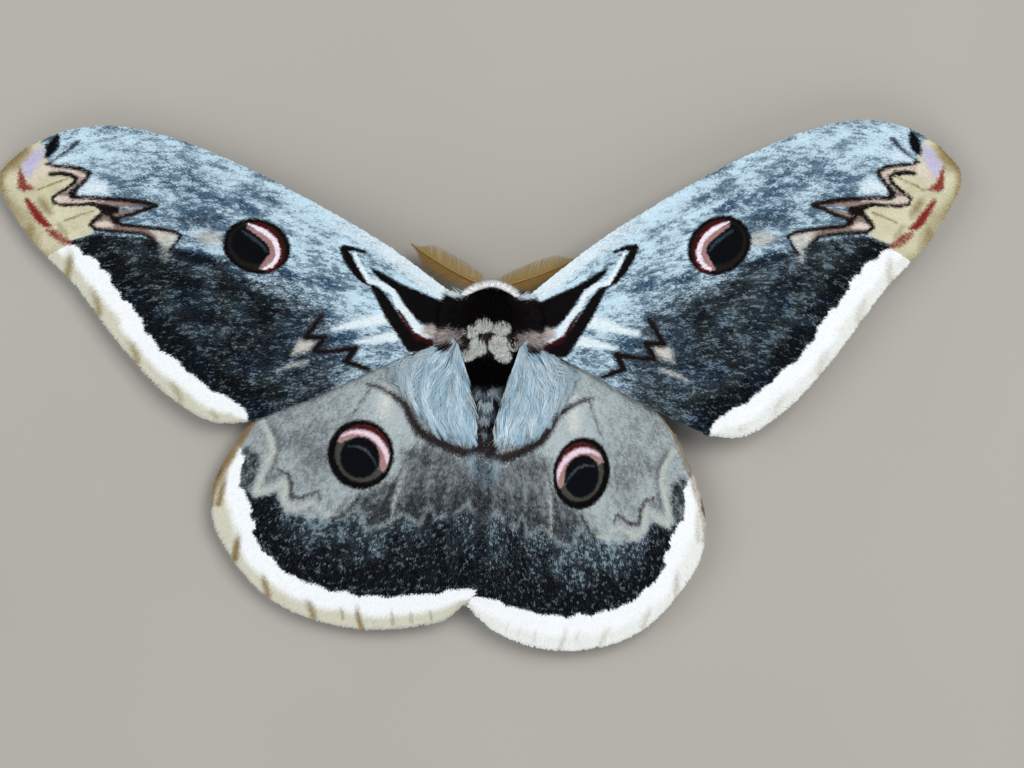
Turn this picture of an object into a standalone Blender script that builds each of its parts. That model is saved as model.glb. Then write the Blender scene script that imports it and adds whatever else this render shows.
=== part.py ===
"""A giant peacock moth at rest with its wings spread, life size.

Metres, +Z up. The head points to +Y and the moth's own left wings to -X. Six feet stand
on the floor at z = 0, and the origin is the middle of the base of the model's box.
"""

import math
import random

import bmesh
import bpy
import numpy as np
from mathutils import Matrix, Vector

MM = 0.001
GAP = 0.3 * MM
WELD = 0.002 * MM

# Body. The thorax is a rounded block whose centre stands over the body's own zero point.
THORAX_CENTRE = Vector((0.0, -0.8, 8.0)) * MM
THORAX_HALF = Vector((6.7, 8.1, 4.6)) * MM
THORAX_ROUNDNESS = 2.3
WAIST_Y = -7.9 * MM
HEAD_CENTRE = Vector((0.0, 5.2, 3.6)) * MM
HEAD_HALF = Vector((2.5, 2.2, 2.4)) * MM
HEAD_ROUNDNESS = 2.1
NECK_FROM_THORAX = 6.3 * MM
EYE_CENTRE = Vector((1.75, 5.9, 3.5)) * MM
EYE_RADIUS = 1.15 * MM
PALP_ROOT = Vector((0.75, 1.35, -1.25)) * MM
PALP_REACH = Vector((0.0, 0.72, -1.08)) * MM
PALP_RADII = (0.5 * MM, 0.3 * MM)
ABDOMEN_LENGTH = 24.0 * MM
ABDOMEN_RADIUS = 3.6 * MM
ABDOMEN_AXIS_Z = 4.45 * MM
ABDOMEN_SEGMENTS = 8

# Wings. Outlines are seen from above, in millimetres out from the midline and forward.
WING_THICKNESS = 0.5 * MM
VEIN_HEIGHT = 0.22
VEIN_HALF_WIDTH = 0.35
SHEET_HEIGHT = 9.3
PAIR_SPACING = 1.2
FORE_COSTA = [
    (5.0, 4.6), (17.3, 12.8), (26.1, 17.5), (38.1, 23.1),
    (49.8, 27.2), (58.5, 28.5), (65.7, 27.4), (71.6, 24.6),
]
FORE_OUTER = [
    (71.6, 24.6), (75.2, 20.8), (71.3, 12.3), (63.5, 4.6),
    (55.3, -5.1), (46.8, -12.8), (41.2, -15.5), (35.4, -15.2),
]
FORE_INNER = [(6.0, -1.8), (14.0, -5.1), (24.5, -10.4), (35.4, -15.2)]
FORE_ROOT = [(5.0, 4.6), (6.0, 1.4), (6.0, -1.8)]
HIND_COSTA = [(5.9, -1.2), (13.5, -3.0), (21.5, -5.3), (28.6, -8.9), (34.0, -13.4)]
HIND_OUTER = [
    (34.0, -13.4), (37.8, -18.8), (40.8, -25.1), (40.8, -30.2), (37.5, -36.2), (31.5, -42.1),
    (24.5, -44.9), (17.4, -45.9), (9.6, -45.1), (3.5, -43.4), (0.2, -40.7),
]
HIND_INNER = [(4.9, -6.2), (2.9, -10.9), (0.8, -16.5), (0.2, -22.0), (0.2, -31.0), (0.2, -40.7)]
HIND_ROOT = [(5.9, -1.2), (5.7, -3.8), (4.9, -6.2)]
FORE_VEINS = [0.07, 0.20, 0.34, 0.48, 0.62, 0.76, 0.91]
FORE_VEIN_STARTS = [0.0, 0.42, 0.42, 0.42, 0.36, 0.0, 0.0]
HIND_VEINS = [0.10, 0.24, 0.38, 0.52, 0.66, 0.80]
HIND_VEIN_STARTS = [0.0, 0.38, 0.38, 0.32, 0.0, 0.0]
WING_STATIONS = 14

# The pose: the left wings lie low, and the right pair is held level and turned apart.
# Each side has the height of its outer margins and, for each wing, how the left outline
# lies on that side: scale across, forward swing for each unit across, scale along, and
# lean to the midline for each unit back.
LEFT, RIGHT = -1, 1
MARGIN_HEIGHT = {LEFT: 2.9, RIGHT: 5.2}
FORE_POSE = {LEFT: (1.0, 0.0, 1.0, 0.0), RIGHT: (0.925, 0.062, 1.07, 0.0)}
HIND_POSE = {LEFT: (1.0, 0.0, 1.0, 0.0), RIGHT: (0.84, -0.044, 1.032, 0.081)}
HINGE_X = 6.0
LEAN_FROM_Y = -4.0
LEAN_REACH = 10.0

# The seam between the hindwings turns to the left where it crosses their pale margins.
SEAM_BEND = 1.5
SEAM_BEND_FROM_Y = -38.6
SEAM_BEND_OVER = 3.2
SEAM_BEND_REACH = 8.0
SIDE_NAME = {LEFT: "left", RIGHT: "right"}

# Long hair on the base of the hindwings, as flat tapered locks.
LOCKS_PER_WING = 11
LOCK_THICKNESS = 0.28
LOCK_SEED = 7

# Antennae: a leaf of side branches on each side of a stem.
ANTENNA_LENGTH = 14.3
ANTENNA_SUNK = 1.2
ANTENNA_SOCKET = Vector((1.0, 1.5, 1.5))
ANTENNA_RISE = -1.1
ANTENNA_SWEEP = {LEFT: 27.2, RIGHT: 22.0}
BRANCH_PAIRS = 13
BRANCH_LENGTH = 2.45
BRANCH_LEAN = 58.0
BRANCH_DROOP = 0.12

# Legs, each as hip, knee, ankle, ball of the foot and toe in millimetres, for the right side.
FOOT_LEVEL = 0.33
LEGS = {
    "front": [
        (4.1, 2.6, 4.6), (7.4, 4.8, 5.1), (9.8, 6.9, 1.7),
        (11.2, 8.0, FOOT_LEVEL), (12.8, 9.1, FOOT_LEVEL),
    ],
    "middle": [
        (3.9, -0.9, 3.9), (8.6, -1.6, 5.2), (11.8, -2.1, 1.7),
        (13.9, -2.3, FOOT_LEVEL), (15.9, -2.4, FOOT_LEVEL),
    ],
    "hind": [
        (3.6, -4.2, 4.1), (7.3, -7.9, 4.9), (9.4, -11.6, 1.7),
        (10.2, -13.9, FOOT_LEVEL), (10.7, -16.0, FOOT_LEVEL),
    ],
}
LEG_POINTS = 15
LEG_RADII = [0.95, 0.95, 0.72, 0.55, 0.45]
CLAW_LENGTH = 0.7 * MM
CLAW_SUNK = 0.3 * MM
CLAW_SPREAD = 0.12 * MM
CLAW_RADII = (0.2 * MM, 0.08 * MM)


def clear_scene():
    """Removes every object of the file that the script starts in."""
    for obj in list(bpy.data.objects):
        bpy.data.objects.remove(obj, do_unlink=True)


def make_material(name, colour, roughness):
    """A plain surface of one linear colour."""
    material = bpy.data.materials.new(name)
    material.use_nodes = True
    shader = material.node_tree.nodes["Principled BSDF"]
    shader.inputs["Base Color"].default_value = (*colour, 1.0)
    shader.inputs["Roughness"].default_value = roughness
    return material


def finish_object(name, bm, material, collection):
    """Makes a named object of a bmesh, with its normals out and its material set."""
    mesh = bpy.data.meshes.new(name)
    bmesh.ops.recalc_face_normals(bm, faces=bm.faces)
    bm.to_mesh(mesh)
    bm.free()
    mesh.materials.append(material)
    obj = bpy.data.objects.new(name, mesh)
    collection.objects.link(obj)
    return obj


def smooth_step(value):
    """0 below 0, 1 above 1, and a smooth rise between."""
    value = min(max(value, 0.0), 1.0)
    return value * value * (3.0 - 2.0 * value)


class Curve:
    """A smooth curve through points, measured by the share of its length."""

    def __init__(self, points):
        """Takes the points in order, in two or three dimensions."""
        self.points = [Vector(p) for p in points]
        steps = [(b - a).length for a, b in zip(self.points, self.points[1:])]
        self.knots = [sum(steps[:i]) / sum(steps) for i in range(len(self.points))]
        slopes = np.gradient(np.array(points, float), self.knots, axis=0)
        self.slopes = [Vector(slope) for slope in slopes]

    def at(self, share):
        """The point at a share of the way."""
        i = sum(knot <= share for knot in self.knots[1:-1])
        width = self.knots[i + 1] - self.knots[i]
        t = (share - self.knots[i]) / width
        rise = t * t * (3 - 2 * t)
        leave = (t**3 - 2 * t**2 + t) * width * self.slopes[i]
        arrive = (t**3 - t**2) * width * self.slopes[i + 1]
        return (1 - rise) * self.points[i] + rise * self.points[i + 1] + leave + arrive


def cut_off(bm, point, normal):
    """Cuts away what lies beyond a plane on the side that normal points to, and closes the cut."""
    geometry = bm.verts[:] + bm.edges[:] + bm.faces[:]
    cut = bmesh.ops.bisect_plane(
        bm, geom=geometry, dist=1e-7, plane_co=point, plane_no=normal, clear_outer=True
    )
    rim = [e for e in cut["geom_cut"] if isinstance(e, bmesh.types.BMEdge)]
    bmesh.ops.holes_fill(bm, edges=rim, sides=0)


def rounded_block(centre, half, roundness, around, along):
    """A sphere swelled towards a box: its shares of the half sizes, raised to roundness, add up to 1."""
    bm = bmesh.new()
    bmesh.ops.create_uvsphere(bm, u_segments=around, v_segments=along, radius=1.0)
    for vert in bm.verts:
        total = sum(abs(c) ** roundness for c in vert.co) ** (1.0 / roundness)
        vert.co = centre + Vector(c / total * h for c, h in zip(vert.co, half))
    return bm


def thorax_half_width(y, z):
    """How far the thorax reaches from the midline at that length and height."""
    n = THORAX_ROUNDNESS
    used = abs((y - THORAX_CENTRE.y) / THORAX_HALF.y) ** n
    used += abs((z - THORAX_CENTRE.z) / THORAX_HALF.z) ** n
    return THORAX_HALF.x * max(1.0 - used, 0.0) ** (1.0 / n)


def plane_on_block(centre, half, roundness, toward):
    """A point GAP outside a rounded block's surface, on the way from its centre, and the normal there."""
    shares = [abs(c / h) ** roundness for c, h in zip(toward, half)]
    on_surface = centre + toward / sum(shares) ** (1.0 / roundness)
    slopes = [math.copysign(abs(c / h) ** (roundness - 1) / h, c) for c, h in zip(toward, half)]
    outward = Vector(slopes).normalized()
    return on_surface + outward * GAP, outward


def neck_plane(offset):
    """A point and the normal of the plane between thorax and head, moved along the normal."""
    normal = (HEAD_CENTRE - THORAX_CENTRE).normalized()
    return THORAX_CENTRE + normal * (NECK_FROM_THORAX + offset), normal


def make_thorax(material, collection):
    """The thorax out to the tips of its velvet, flat where the neck and the waist meet it."""
    bm = rounded_block(THORAX_CENTRE, THORAX_HALF, THORAX_ROUNDNESS, 28, 18)
    cut_off(bm, Vector((0, WAIST_Y, 0)), Vector((0, -1, 0)))
    cut_off(bm, *neck_plane(0.0))
    return finish_object("thorax", bm, material, collection)


def make_spine(name, root, tip, radii, sides, material, collection):
    """A closed tapered rod from root to tip, with its radius at each."""
    bm = bmesh.new()
    turn = (tip - root).to_track_quat("Z", "Y").to_matrix().to_4x4()
    place = Matrix.Translation((root + tip) / 2) @ turn
    bmesh.ops.create_cone(
        bm, cap_ends=True, segments=sides, radius1=radii[0], radius2=radii[1],
        depth=(tip - root).length, matrix=place,
    )
    return finish_object(name, bm, material, collection)


def make_ball(name, centre, radius, material, collection):
    """A sphere."""
    bm = bmesh.new()
    place = Matrix.Translation(centre)
    bmesh.ops.create_uvsphere(bm, u_segments=16, v_segments=10, radius=radius, matrix=place)
    return finish_object(name, bm, material, collection)


def eye_centre(side):
    """Where the eye of that side has its middle."""
    return Vector((side * EYE_CENTRE.x, EYE_CENTRE.y, EYE_CENTRE.z))


def make_head(material, collection):
    """The small tucked head, with a pair of palps below the face and a socket for each eye."""
    bm = rounded_block(HEAD_CENTRE, HEAD_HALF, HEAD_ROUNDNESS, 22, 14)
    point, normal = neck_plane(GAP)
    cut_off(bm, point, -normal)
    head = finish_object("head", bm, material, collection)
    palps = []
    for side in (LEFT, RIGHT):
        root = HEAD_CENTRE + Vector((side * PALP_ROOT.x, PALP_ROOT.y, PALP_ROOT.z))
        palps.append(make_spine("palp", root, root + PALP_REACH, PALP_RADII, 8, material, collection))
    join_pieces(head, palps)
    for side in (LEFT, RIGHT):
        socket = make_ball("socket", eye_centre(side), EYE_RADIUS + GAP, material, collection)
        modifier = head.modifiers.new("socket", "BOOLEAN")
        modifier.operation = "DIFFERENCE"
        modifier.object = socket
        apply_modifiers(head)
        bpy.data.objects.remove(socket)
    return head


def make_eye(side, material, collection):
    """A round compound eye that fills its socket."""
    return make_ball(f"eye_{SIDE_NAME[side]}", eye_centre(side), EYE_RADIUS, material, collection)


def apply_modifiers(obj):
    """Makes the object's evaluated shape its own mesh."""
    graph = bpy.context.evaluated_depsgraph_get()
    graph.update()
    mesh = bpy.data.meshes.new_from_object(obj.evaluated_get(graph))
    obj.modifiers.clear()
    obj.data = mesh


def join_pieces(obj, pieces):
    """Joins closed pieces to a node by one Boolean union, and removes them."""
    group = bpy.data.collections.new(obj.name + "_pieces")
    bpy.context.scene.collection.children.link(group)
    for piece in pieces:
        group.objects.link(piece)
    modifier = obj.modifiers.new("join", "BOOLEAN")
    modifier.operation = "UNION"
    modifier.operand_type = "COLLECTION"
    modifier.collection = group
    apply_modifiers(obj)
    for piece in pieces:
        bpy.data.objects.remove(piece)
    bpy.data.collections.remove(group)
    keep_largest_surface(obj)


def keep_largest_surface(obj):
    """Welds the finest slivers of a union and drops what it leaves beside the node's closed surface."""
    bm = bmesh.new()
    bm.from_mesh(obj.data)
    bmesh.ops.remove_doubles(bm, verts=bm.verts, dist=WELD)
    surfaces = []
    seen = set()
    for first in bm.verts:
        if first in seen:
            continue
        seen.add(first)
        surface = [first]
        for vert in surface:
            for edge in vert.link_edges:
                other = edge.other_vert(vert)
                if other not in seen:
                    seen.add(other)
                    surface.append(other)
        surfaces.append(surface)
    largest = max(surfaces, key=len)
    for surface in surfaces:
        if surface is not largest:
            bmesh.ops.delete(bm, geom=surface, context="VERTS")
    bmesh.ops.recalc_face_normals(bm, faces=bm.faces)
    bm.to_mesh(obj.data)
    bm.free()


def make_tapered_body(centre_at, half_sizes_at, around, along):
    """A sphere stretched along an axis: each ring takes the centre and half sizes at its share of the way."""
    bm = bmesh.new()
    bmesh.ops.create_uvsphere(bm, u_segments=around, v_segments=along, radius=1.0)
    for vert in bm.verts:
        share = math.acos(max(-1.0, min(1.0, vert.co.z))) / math.pi
        angle = math.atan2(vert.co.y, vert.co.x)
        at_pole = share < 1e-4 or share > 1.0 - 1e-4
        centre, side, up = centre_at(share)
        half_width, half_height = (0.0, 0.0) if at_pole else half_sizes_at(share)
        vert.co = centre + side * (half_width * math.cos(angle)) + up * (half_height * math.sin(angle))
    return bm


def abdomen_centre(share):
    """The axis of the abdomen, which droops to its tip."""
    start = WAIST_Y + 2.0 * MM
    droop = 1.3 * MM * smooth_step((share - 0.45) / 0.55)
    y = start - share * (ABDOMEN_LENGTH + 2.0 * MM)
    return Vector((0, y, ABDOMEN_AXIS_Z - droop)), Vector((1, 0, 0)), Vector((0, 0, 1))


def abdomen_half_sizes(share):
    """Half width and height of the abdomen, pinched between its rings."""
    ends = math.sin(math.pi * min(max(share * 0.93 + 0.035, 0.0), 1.0)) ** 0.42
    taper = 1.0 - 0.36 * smooth_step((share - 0.35) / 0.65)
    pinch = 1.0 - 0.035 * (0.5 + 0.5 * math.cos(2 * math.pi * ABDOMEN_SEGMENTS * share))
    radius = ABDOMEN_RADIUS * ends * taper * pinch
    return radius * 1.04, radius * 0.97


def make_abdomen(material, collection):
    """The ringed abdomen under the hindwings, flat where it meets the thorax."""
    bm = make_tapered_body(abdomen_centre, abdomen_half_sizes, 22, 3 * ABDOMEN_SEGMENTS + 1)
    cut_off(bm, Vector((0, WAIST_Y - GAP, 0)), Vector((0, 1, 0)))
    return finish_object("abdomen", bm, material, collection)


def sheet_height(side, x, y):
    """Height in millimetres of the sheet that both wings of a side follow.

    It is highest over the body, falls outwards to the margins, and dips at the midline seam.
    """
    margin = MARGIN_HEIGHT[side]
    ridge = SHEET_HEIGHT - 4.6 * smooth_step((-24.0 - y) / 24.0)
    fall = math.exp(-(max(abs(x) - 4.0, 0.0) / 27.0) ** 1.5)
    seam = 0.45 * math.exp(-((x / 1.6) ** 2)) * smooth_step((-14.0 - y) / 4.0)
    return margin + (ridge - margin) * fall - seam


def place_on_side(pose, side, x, y):
    """Where a point of the left outline lies on that side, in millimetres out and forward."""
    across, swing, along, lean = pose
    beyond_hinge = max(x - HINGE_X, 0.0)
    out = min(x, HINGE_X) + beyond_hinge * across
    out += lean * min(y - LEAN_FROM_Y, 0.0) * smooth_step(x / LEAN_REACH)
    forward = y * along + beyond_hinge * swing
    bend = smooth_step((SEAM_BEND_FROM_Y - forward) / SEAM_BEND_OVER)
    out -= side * SEAM_BEND * bend * smooth_step(1.0 - x / SEAM_BEND_REACH)
    return out, forward


def fore_lift(share, b):
    """How far the forewing bows up in its middle and curls down at its outer margin, in millimetres."""
    return 0.7 * math.sin(math.pi * share) * math.sin(math.pi * b) - 0.9 * share**7


def hind_lift(share, b):
    """The same for the hindwing, whose margin also waves a little between the veins."""
    return -0.5 * share**7 + 0.12 * share**4 * math.sin(11.0 * math.pi * b)


class Wing:
    """One wing as a patch between four edges.

    share runs from the root to the outer margin, and b from the front edge to the back.
    """

    def __init__(self, kind, side):
        """Picks the outline, pose, veins and level of this wing."""
        fore = kind == "forewing"
        self.kind = kind
        self.side = side
        outline = (
            (FORE_COSTA, FORE_OUTER, FORE_INNER, FORE_ROOT) if fore
            else (HIND_COSTA, HIND_OUTER, HIND_INNER, HIND_ROOT)
        )
        self.front, self.outer, self.back, self.root = [Curve(edge) for edge in outline]
        self.pose = (FORE_POSE if fore else HIND_POSE)[side]
        self.lift = fore_lift if fore else hind_lift
        self.level = PAIR_SPACING / 2 if fore else -PAIR_SPACING / 2
        self.veins = FORE_VEINS if fore else HIND_VEINS
        self.starts = FORE_VEIN_STARTS if fore else HIND_VEIN_STARTS

    def plan(self, share, b):
        """The point of the left outline at share and b, in millimetres."""
        patch = (1 - b) * self.front.at(share) + b * self.back.at(share)
        patch += (1 - share) * self.root.at(b) + share * self.outer.at(b)
        near = (1 - b) * self.root.points[0] + b * self.root.points[-1]
        far = (1 - b) * self.outer.points[0] + b * self.outer.points[-1]
        return patch - (1 - share) * near - share * far

    def posed(self, share, b):
        """The middle of the wing's thickness at share and b, in metres, where the body's zero is."""
        x, y = self.plan(share, b)
        out, forward = place_on_side(self.pose, self.side, x, y)
        height = sheet_height(self.side, out, forward) + self.level * smooth_step(x / 4.0)
        height += self.lift(share, b)
        return Vector((self.side * out, forward, height)) * MM

    def chord(self, share):
        """Width of the wing from its front edge to its back edge, in millimetres."""
        return (self.back.at(share) - self.front.at(share)).length

    def rows(self, share):
        """The values of b of the lattice's rows at that share, and the vein height of each."""
        found = [(0.0, 0.12)]
        spacing = np.diff([0.0, *self.veins, 1.0])
        for i, (vein, start) in enumerate(zip(self.veins, self.starts)):
            half = min(VEIN_HALF_WIDTH / self.chord(share), 0.3 * min(spacing[i], spacing[i + 1]))
            height = VEIN_HEIGHT * smooth_step((share - start) / 0.08 + 0.5 * (start == 0.0))
            height *= 1.0 - 0.5 * share
            found += [(vein - half, 0.0), (vein, height), (vein + half, 0.0)]
        return found + [(1.0, 0.0)]

    def make(self, material, collection):
        """A sheet of triangles extruded to the membrane's thickness, with its veins raised on top."""
        rows = len(self.rows(0.5))
        bm = bmesh.new()
        bmesh.ops.create_grid(bm, x_segments=rows - 1, y_segments=WING_STATIONS - 1, size=0.5)
        rise = bm.verts.layers.float.new("rise")
        at_root = bm.verts.layers.int.new("at_root")
        for vert in bm.verts:
            row = round((vert.co.x + 0.5) * (rows - 1))
            share = round((vert.co.y + 0.5) * (WING_STATIONS - 1)) / (WING_STATIONS - 1)
            b, height = self.rows(share)[row]
            vert.co = self.posed(share, b) - Vector((0, 0, WING_THICKNESS / 2))
            vert[rise] = WING_THICKNESS + height * MM
            vert[at_root] = share == 0.0
        bmesh.ops.triangulate(bm, faces=bm.faces, quad_method="SHORT_EDGE")
        result = bmesh.ops.extrude_face_region(bm, geom=bm.faces[:], use_keep_orig=True)
        for item in result["geom"]:
            if isinstance(item, bmesh.types.BMVert):
                item.co.z += item[rise]
        for vert in bm.verts:
            if vert[at_root]:
                vert.co.x = self.side * (thorax_half_width(vert.co.y, vert.co.z) + GAP)
        return finish_object(f"{self.kind}_{SIDE_NAME[self.side]}", bm, material, collection)


def lock_path(index, random_source):
    """Root, middle and tip of one lock in millimetres, with its half width.

    Locks start behind the thorax and the forewing, stream back and lean to the midline.
    """
    share = index / (LOCKS_PER_WING - 1)
    root_x = 2.7 + 9.6 * share
    root_y = -8.8 + 2.3 * smooth_step((root_x - 6.4) / 1.8) - 0.35 * max(root_x - 8.0, 0.0)
    root_y -= 2.2 * (index % 2)
    reach = 6.6 + random_source.uniform(-0.8, 0.8) - 1.0 * share
    tip = (max(0.6, 0.5 * root_x - 0.5), root_y - reach)
    middle = ((root_x + tip[0]) / 2 + 0.5, (root_y + tip[1]) / 2)
    return (root_x, root_y), middle, tip, 0.62 + random_source.uniform(0.0, 0.2)


def make_lock(wing, index, random_source, material, collection):
    """A flat tapered lock whose root is sunk in the wing and whose tip stands clear of it."""
    root, middle, tip, half_width = lock_path(index, random_source)
    lift = 0.15 * (index % 3)

    def centre_at(share):
        """The lock's axis, with its side and up directions."""
        flat = [(1 - share) ** 2 * r + 2 * share * (1 - share) * m + share**2 * t
                for r, m, t in zip(root, middle, tip)]
        rise = -0.02 + (0.95 + lift) * math.sin(math.pi * min(share * 0.75 + 0.02, 1.0))
        sheet = sheet_height(wing.side, flat[0], flat[1]) + wing.level * smooth_step(flat[0] / 4.0)
        point = Vector((wing.side * flat[0] * wing.pose[0], flat[1], sheet + rise)) * MM
        return point, Vector((1, 0, 0)), Vector((0, 0, 1))

    def half_sizes_at(share):
        """A lock is widest a third of the way and comes to a point."""
        swell = math.sin(math.pi * share**0.7) ** 0.7
        return half_width * swell * MM, LOCK_THICKNESS * (0.5 + 0.5 * swell) * MM

    bm = make_tapered_body(centre_at, half_sizes_at, 6, 7)
    return finish_object(f"lock_{index}", bm, material, collection)


def make_hindwing(side, material, collection):
    """A hindwing with the locks of long hair on its base."""
    wing = Wing("hindwing", side)
    obj = wing.make(material, collection)
    random_source = random.Random(LOCK_SEED + side)
    locks = [make_lock(wing, i, random_source, material, collection) for i in range(LOCKS_PER_WING)]
    join_pieces(obj, locks)
    return obj


def make_antenna(side, material, collection):
    """A feathered antenna: a tapered stem with a pair of side branches at each step."""
    sweep = math.radians(ANTENNA_SWEEP[side])
    ahead = Vector((side * math.cos(sweep), math.sin(sweep), ANTENNA_RISE / ANTENNA_LENGTH)).normalized()
    across = Vector((0, 0, 1)).cross(ahead).normalized()
    toward = Vector((side * ANTENNA_SOCKET.x, ANTENNA_SOCKET.y, ANTENNA_SOCKET.z)) * MM
    socket, outward = plane_on_block(HEAD_CENTRE, HEAD_HALF, HEAD_ROUNDNESS, toward)
    base = socket - ahead * (ANTENNA_SUNK * MM)

    def centre_at(share):
        """The stem bows slightly back in its plane."""
        bow = across * (side * -0.45 * math.sin(math.pi * share) * MM)
        return base + ahead * (share * ANTENNA_LENGTH * MM) + bow, across, ahead.cross(across)

    def half_sizes_at(share):
        """Radius of the stem."""
        radius = (0.42 - 0.2 * share) * MM
        return radius, radius

    name = f"antenna_{SIDE_NAME[side]}"
    stem = finish_object(name, make_tapered_body(centre_at, half_sizes_at, 8, 15), material, collection)
    branches = []
    lean = math.radians(BRANCH_LEAN)
    for i in range(2 * BRANCH_PAIRS):
        way = 1 if i % 2 else -1
        share = 0.08 + 0.87 * i / (2 * BRANCH_PAIRS - 1)
        length = BRANCH_LENGTH * math.sin(math.pi * (0.12 + 0.8 * share)) ** 0.8
        root = centre_at(share)[0]
        toward = ahead * math.cos(lean) + across * (way * math.sin(lean)) - Vector((0, 0, BRANCH_DROOP))
        tip = root + toward * (length * MM)
        radii = (min(0.25 * MM, 0.8 * half_sizes_at(share)[0]), 0.13 * MM)
        branches.append(make_spine("branch", root, tip, radii, 5, material, collection))
    join_pieces(stem, branches)
    trim(stem, socket, -outward)
    return stem


def leg_axis(joints, side):
    """Points along the leg in metres, rounded at the joints and never below the foot's level."""
    axis = Curve(joints)
    points = []
    for i in range(LEG_POINTS):
        x, y, z = axis.at(i / (LEG_POINTS - 1))
        points.append(Vector((side * x, y, max(z, FOOT_LEVEL))) * MM)
    return points


def make_tube(name, points, radii, material, collection):
    """A closed tube along the points, as a mesh, with radii spread evenly along it."""
    curve = bpy.data.curves.new(name, "CURVE")
    curve.dimensions = "3D"
    curve.bevel_depth = MM
    curve.bevel_resolution = 2
    curve.use_fill_caps = True
    spline = curve.splines.new("POLY")
    spline.points.add(len(points) - 1)
    shares = np.linspace(0.0, 1.0, len(points))
    widths = np.interp(shares, np.linspace(0.0, 1.0, len(radii)), radii)
    for point, place, width in zip(spline.points, points, widths):
        point.co = (*place, 1.0)
        point.radius = width
    tube = bpy.data.objects.new(name + "_tube", curve)
    collection.objects.link(tube)
    bpy.context.view_layer.update()
    mesh = bpy.data.meshes.new_from_object(tube.evaluated_get(bpy.context.evaluated_depsgraph_get()))
    bpy.data.objects.remove(tube)
    bm = bmesh.new()
    bm.from_mesh(mesh)
    bmesh.ops.remove_doubles(bm, verts=bm.verts, dist=WELD)
    return finish_object(name, bm, material, collection)


def make_leg(pair, side, material, collection):
    """A leg as one bent tube that ends in a flat foot and two claws."""
    points = leg_axis(LEGS[pair], side)
    leg = make_tube(f"leg_{pair}_{SIDE_NAME[side]}", points, LEG_RADII, material, collection)
    toe = points[-1]
    ahead = (toe - points[-2]).normalized()
    aside = ahead.cross(Vector((0, 0, 1)))
    claws = []
    for way in (-1, 1):
        root = toe - ahead * CLAW_SUNK + aside * (way * CLAW_SPREAD)
        tip = toe + (ahead + aside * (way * 0.6)) * CLAW_LENGTH - Vector((0, 0, CLAW_SPREAD))
        claws.append(make_spine("claw", root, tip, CLAW_RADII, 6, material, collection))
    join_pieces(leg, claws)
    trim(leg, Vector((0, 0, 0)), Vector((0, 0, -1)))
    hip = points[0] - THORAX_CENTRE
    socket, outward = plane_on_block(THORAX_CENTRE, THORAX_HALF, THORAX_ROUNDNESS, hip)
    trim(leg, socket, -outward)
    return leg


def trim(obj, point, normal):
    """Cuts a node flat at a plane, on the side that normal points to."""
    bm = bmesh.new()
    bm.from_mesh(obj.data)
    cut_off(bm, point, normal)
    bmesh.ops.recalc_face_normals(bm, faces=bm.faces)
    bm.to_mesh(obj.data)
    bm.free()


def place_origin(objects):
    """Moves the whole model so that the origin is the middle of the base of its box."""
    bpy.context.view_layer.update()
    corners = np.array([v.co for obj in objects for v in obj.data.vertices])
    low, high = corners.min(0), corners.max(0)
    base = bpy.data.objects.new("moth", None)
    bpy.context.scene.collection.objects.link(base)
    for obj in objects:
        obj.parent = base
    base.location = (-(low[0] + high[0]) / 2, -(low[1] + high[1]) / 2, -low[2])


def main():
    """Builds the moth."""
    clear_scene()
    collection = bpy.data.collections.new("peacock_moth")
    bpy.context.scene.collection.children.link(collection)
    velvet = make_material("dark_brown_velvet", (0.02, 0.014, 0.012), 0.9)
    abdomen_fur = make_material("grey_banded_fur", (0.18, 0.15, 0.14), 0.9)
    fore_scales = make_material("blue_grey_scales", (0.25, 0.29, 0.31), 0.85)
    hind_scales = make_material("warm_grey_scales", (0.32, 0.29, 0.26), 0.85)
    horn = make_material("golden_brown_horn", (0.36, 0.22, 0.06), 0.6)
    eye_gloss = make_material("black_eye", (0.01, 0.008, 0.007), 0.25)
    leg_fur = make_material("brown_leg_fur", (0.07, 0.04, 0.03), 0.85)
    parts = [
        make_thorax(velvet, collection),
        make_head(velvet, collection),
        make_abdomen(abdomen_fur, collection),
    ]
    for side in (LEFT, RIGHT):
        parts.append(make_eye(side, eye_gloss, collection))
        parts.append(make_antenna(side, horn, collection))
        parts.append(Wing("forewing", side).make(fore_scales, collection))
        parts.append(make_hindwing(side, hind_scales, collection))
        parts += [make_leg(pair, side, leg_fur, collection) for pair in LEGS]
    place_origin(parts)


main()
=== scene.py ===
"""A giant peacock moth at rest with its wings spread, dressed over its solids.

Metres, +Z up. The head points to +Y and the moth's own left wings to -X. Patterns are laid
out in millimetres as they lie on the left wings: out from the midline, and forward.
"""

import logging
import math
from dataclasses import dataclass, field
from enum import Enum, IntEnum

import bpy
import numpy as np
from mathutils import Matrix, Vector


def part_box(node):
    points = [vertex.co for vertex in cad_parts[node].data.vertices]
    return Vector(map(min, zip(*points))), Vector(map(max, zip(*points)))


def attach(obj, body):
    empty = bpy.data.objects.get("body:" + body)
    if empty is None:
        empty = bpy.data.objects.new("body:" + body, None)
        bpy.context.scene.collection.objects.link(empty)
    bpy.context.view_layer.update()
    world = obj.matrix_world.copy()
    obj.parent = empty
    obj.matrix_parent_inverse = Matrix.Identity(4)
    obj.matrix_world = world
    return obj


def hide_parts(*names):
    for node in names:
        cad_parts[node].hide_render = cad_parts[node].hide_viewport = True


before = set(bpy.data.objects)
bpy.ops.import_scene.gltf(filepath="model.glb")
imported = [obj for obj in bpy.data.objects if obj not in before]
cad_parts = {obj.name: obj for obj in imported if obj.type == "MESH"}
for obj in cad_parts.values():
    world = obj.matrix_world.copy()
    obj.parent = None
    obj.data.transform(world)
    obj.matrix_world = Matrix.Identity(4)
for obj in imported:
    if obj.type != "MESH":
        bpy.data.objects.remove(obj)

Array = np.ndarray
Path = tuple[tuple[float, float], ...]

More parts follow.
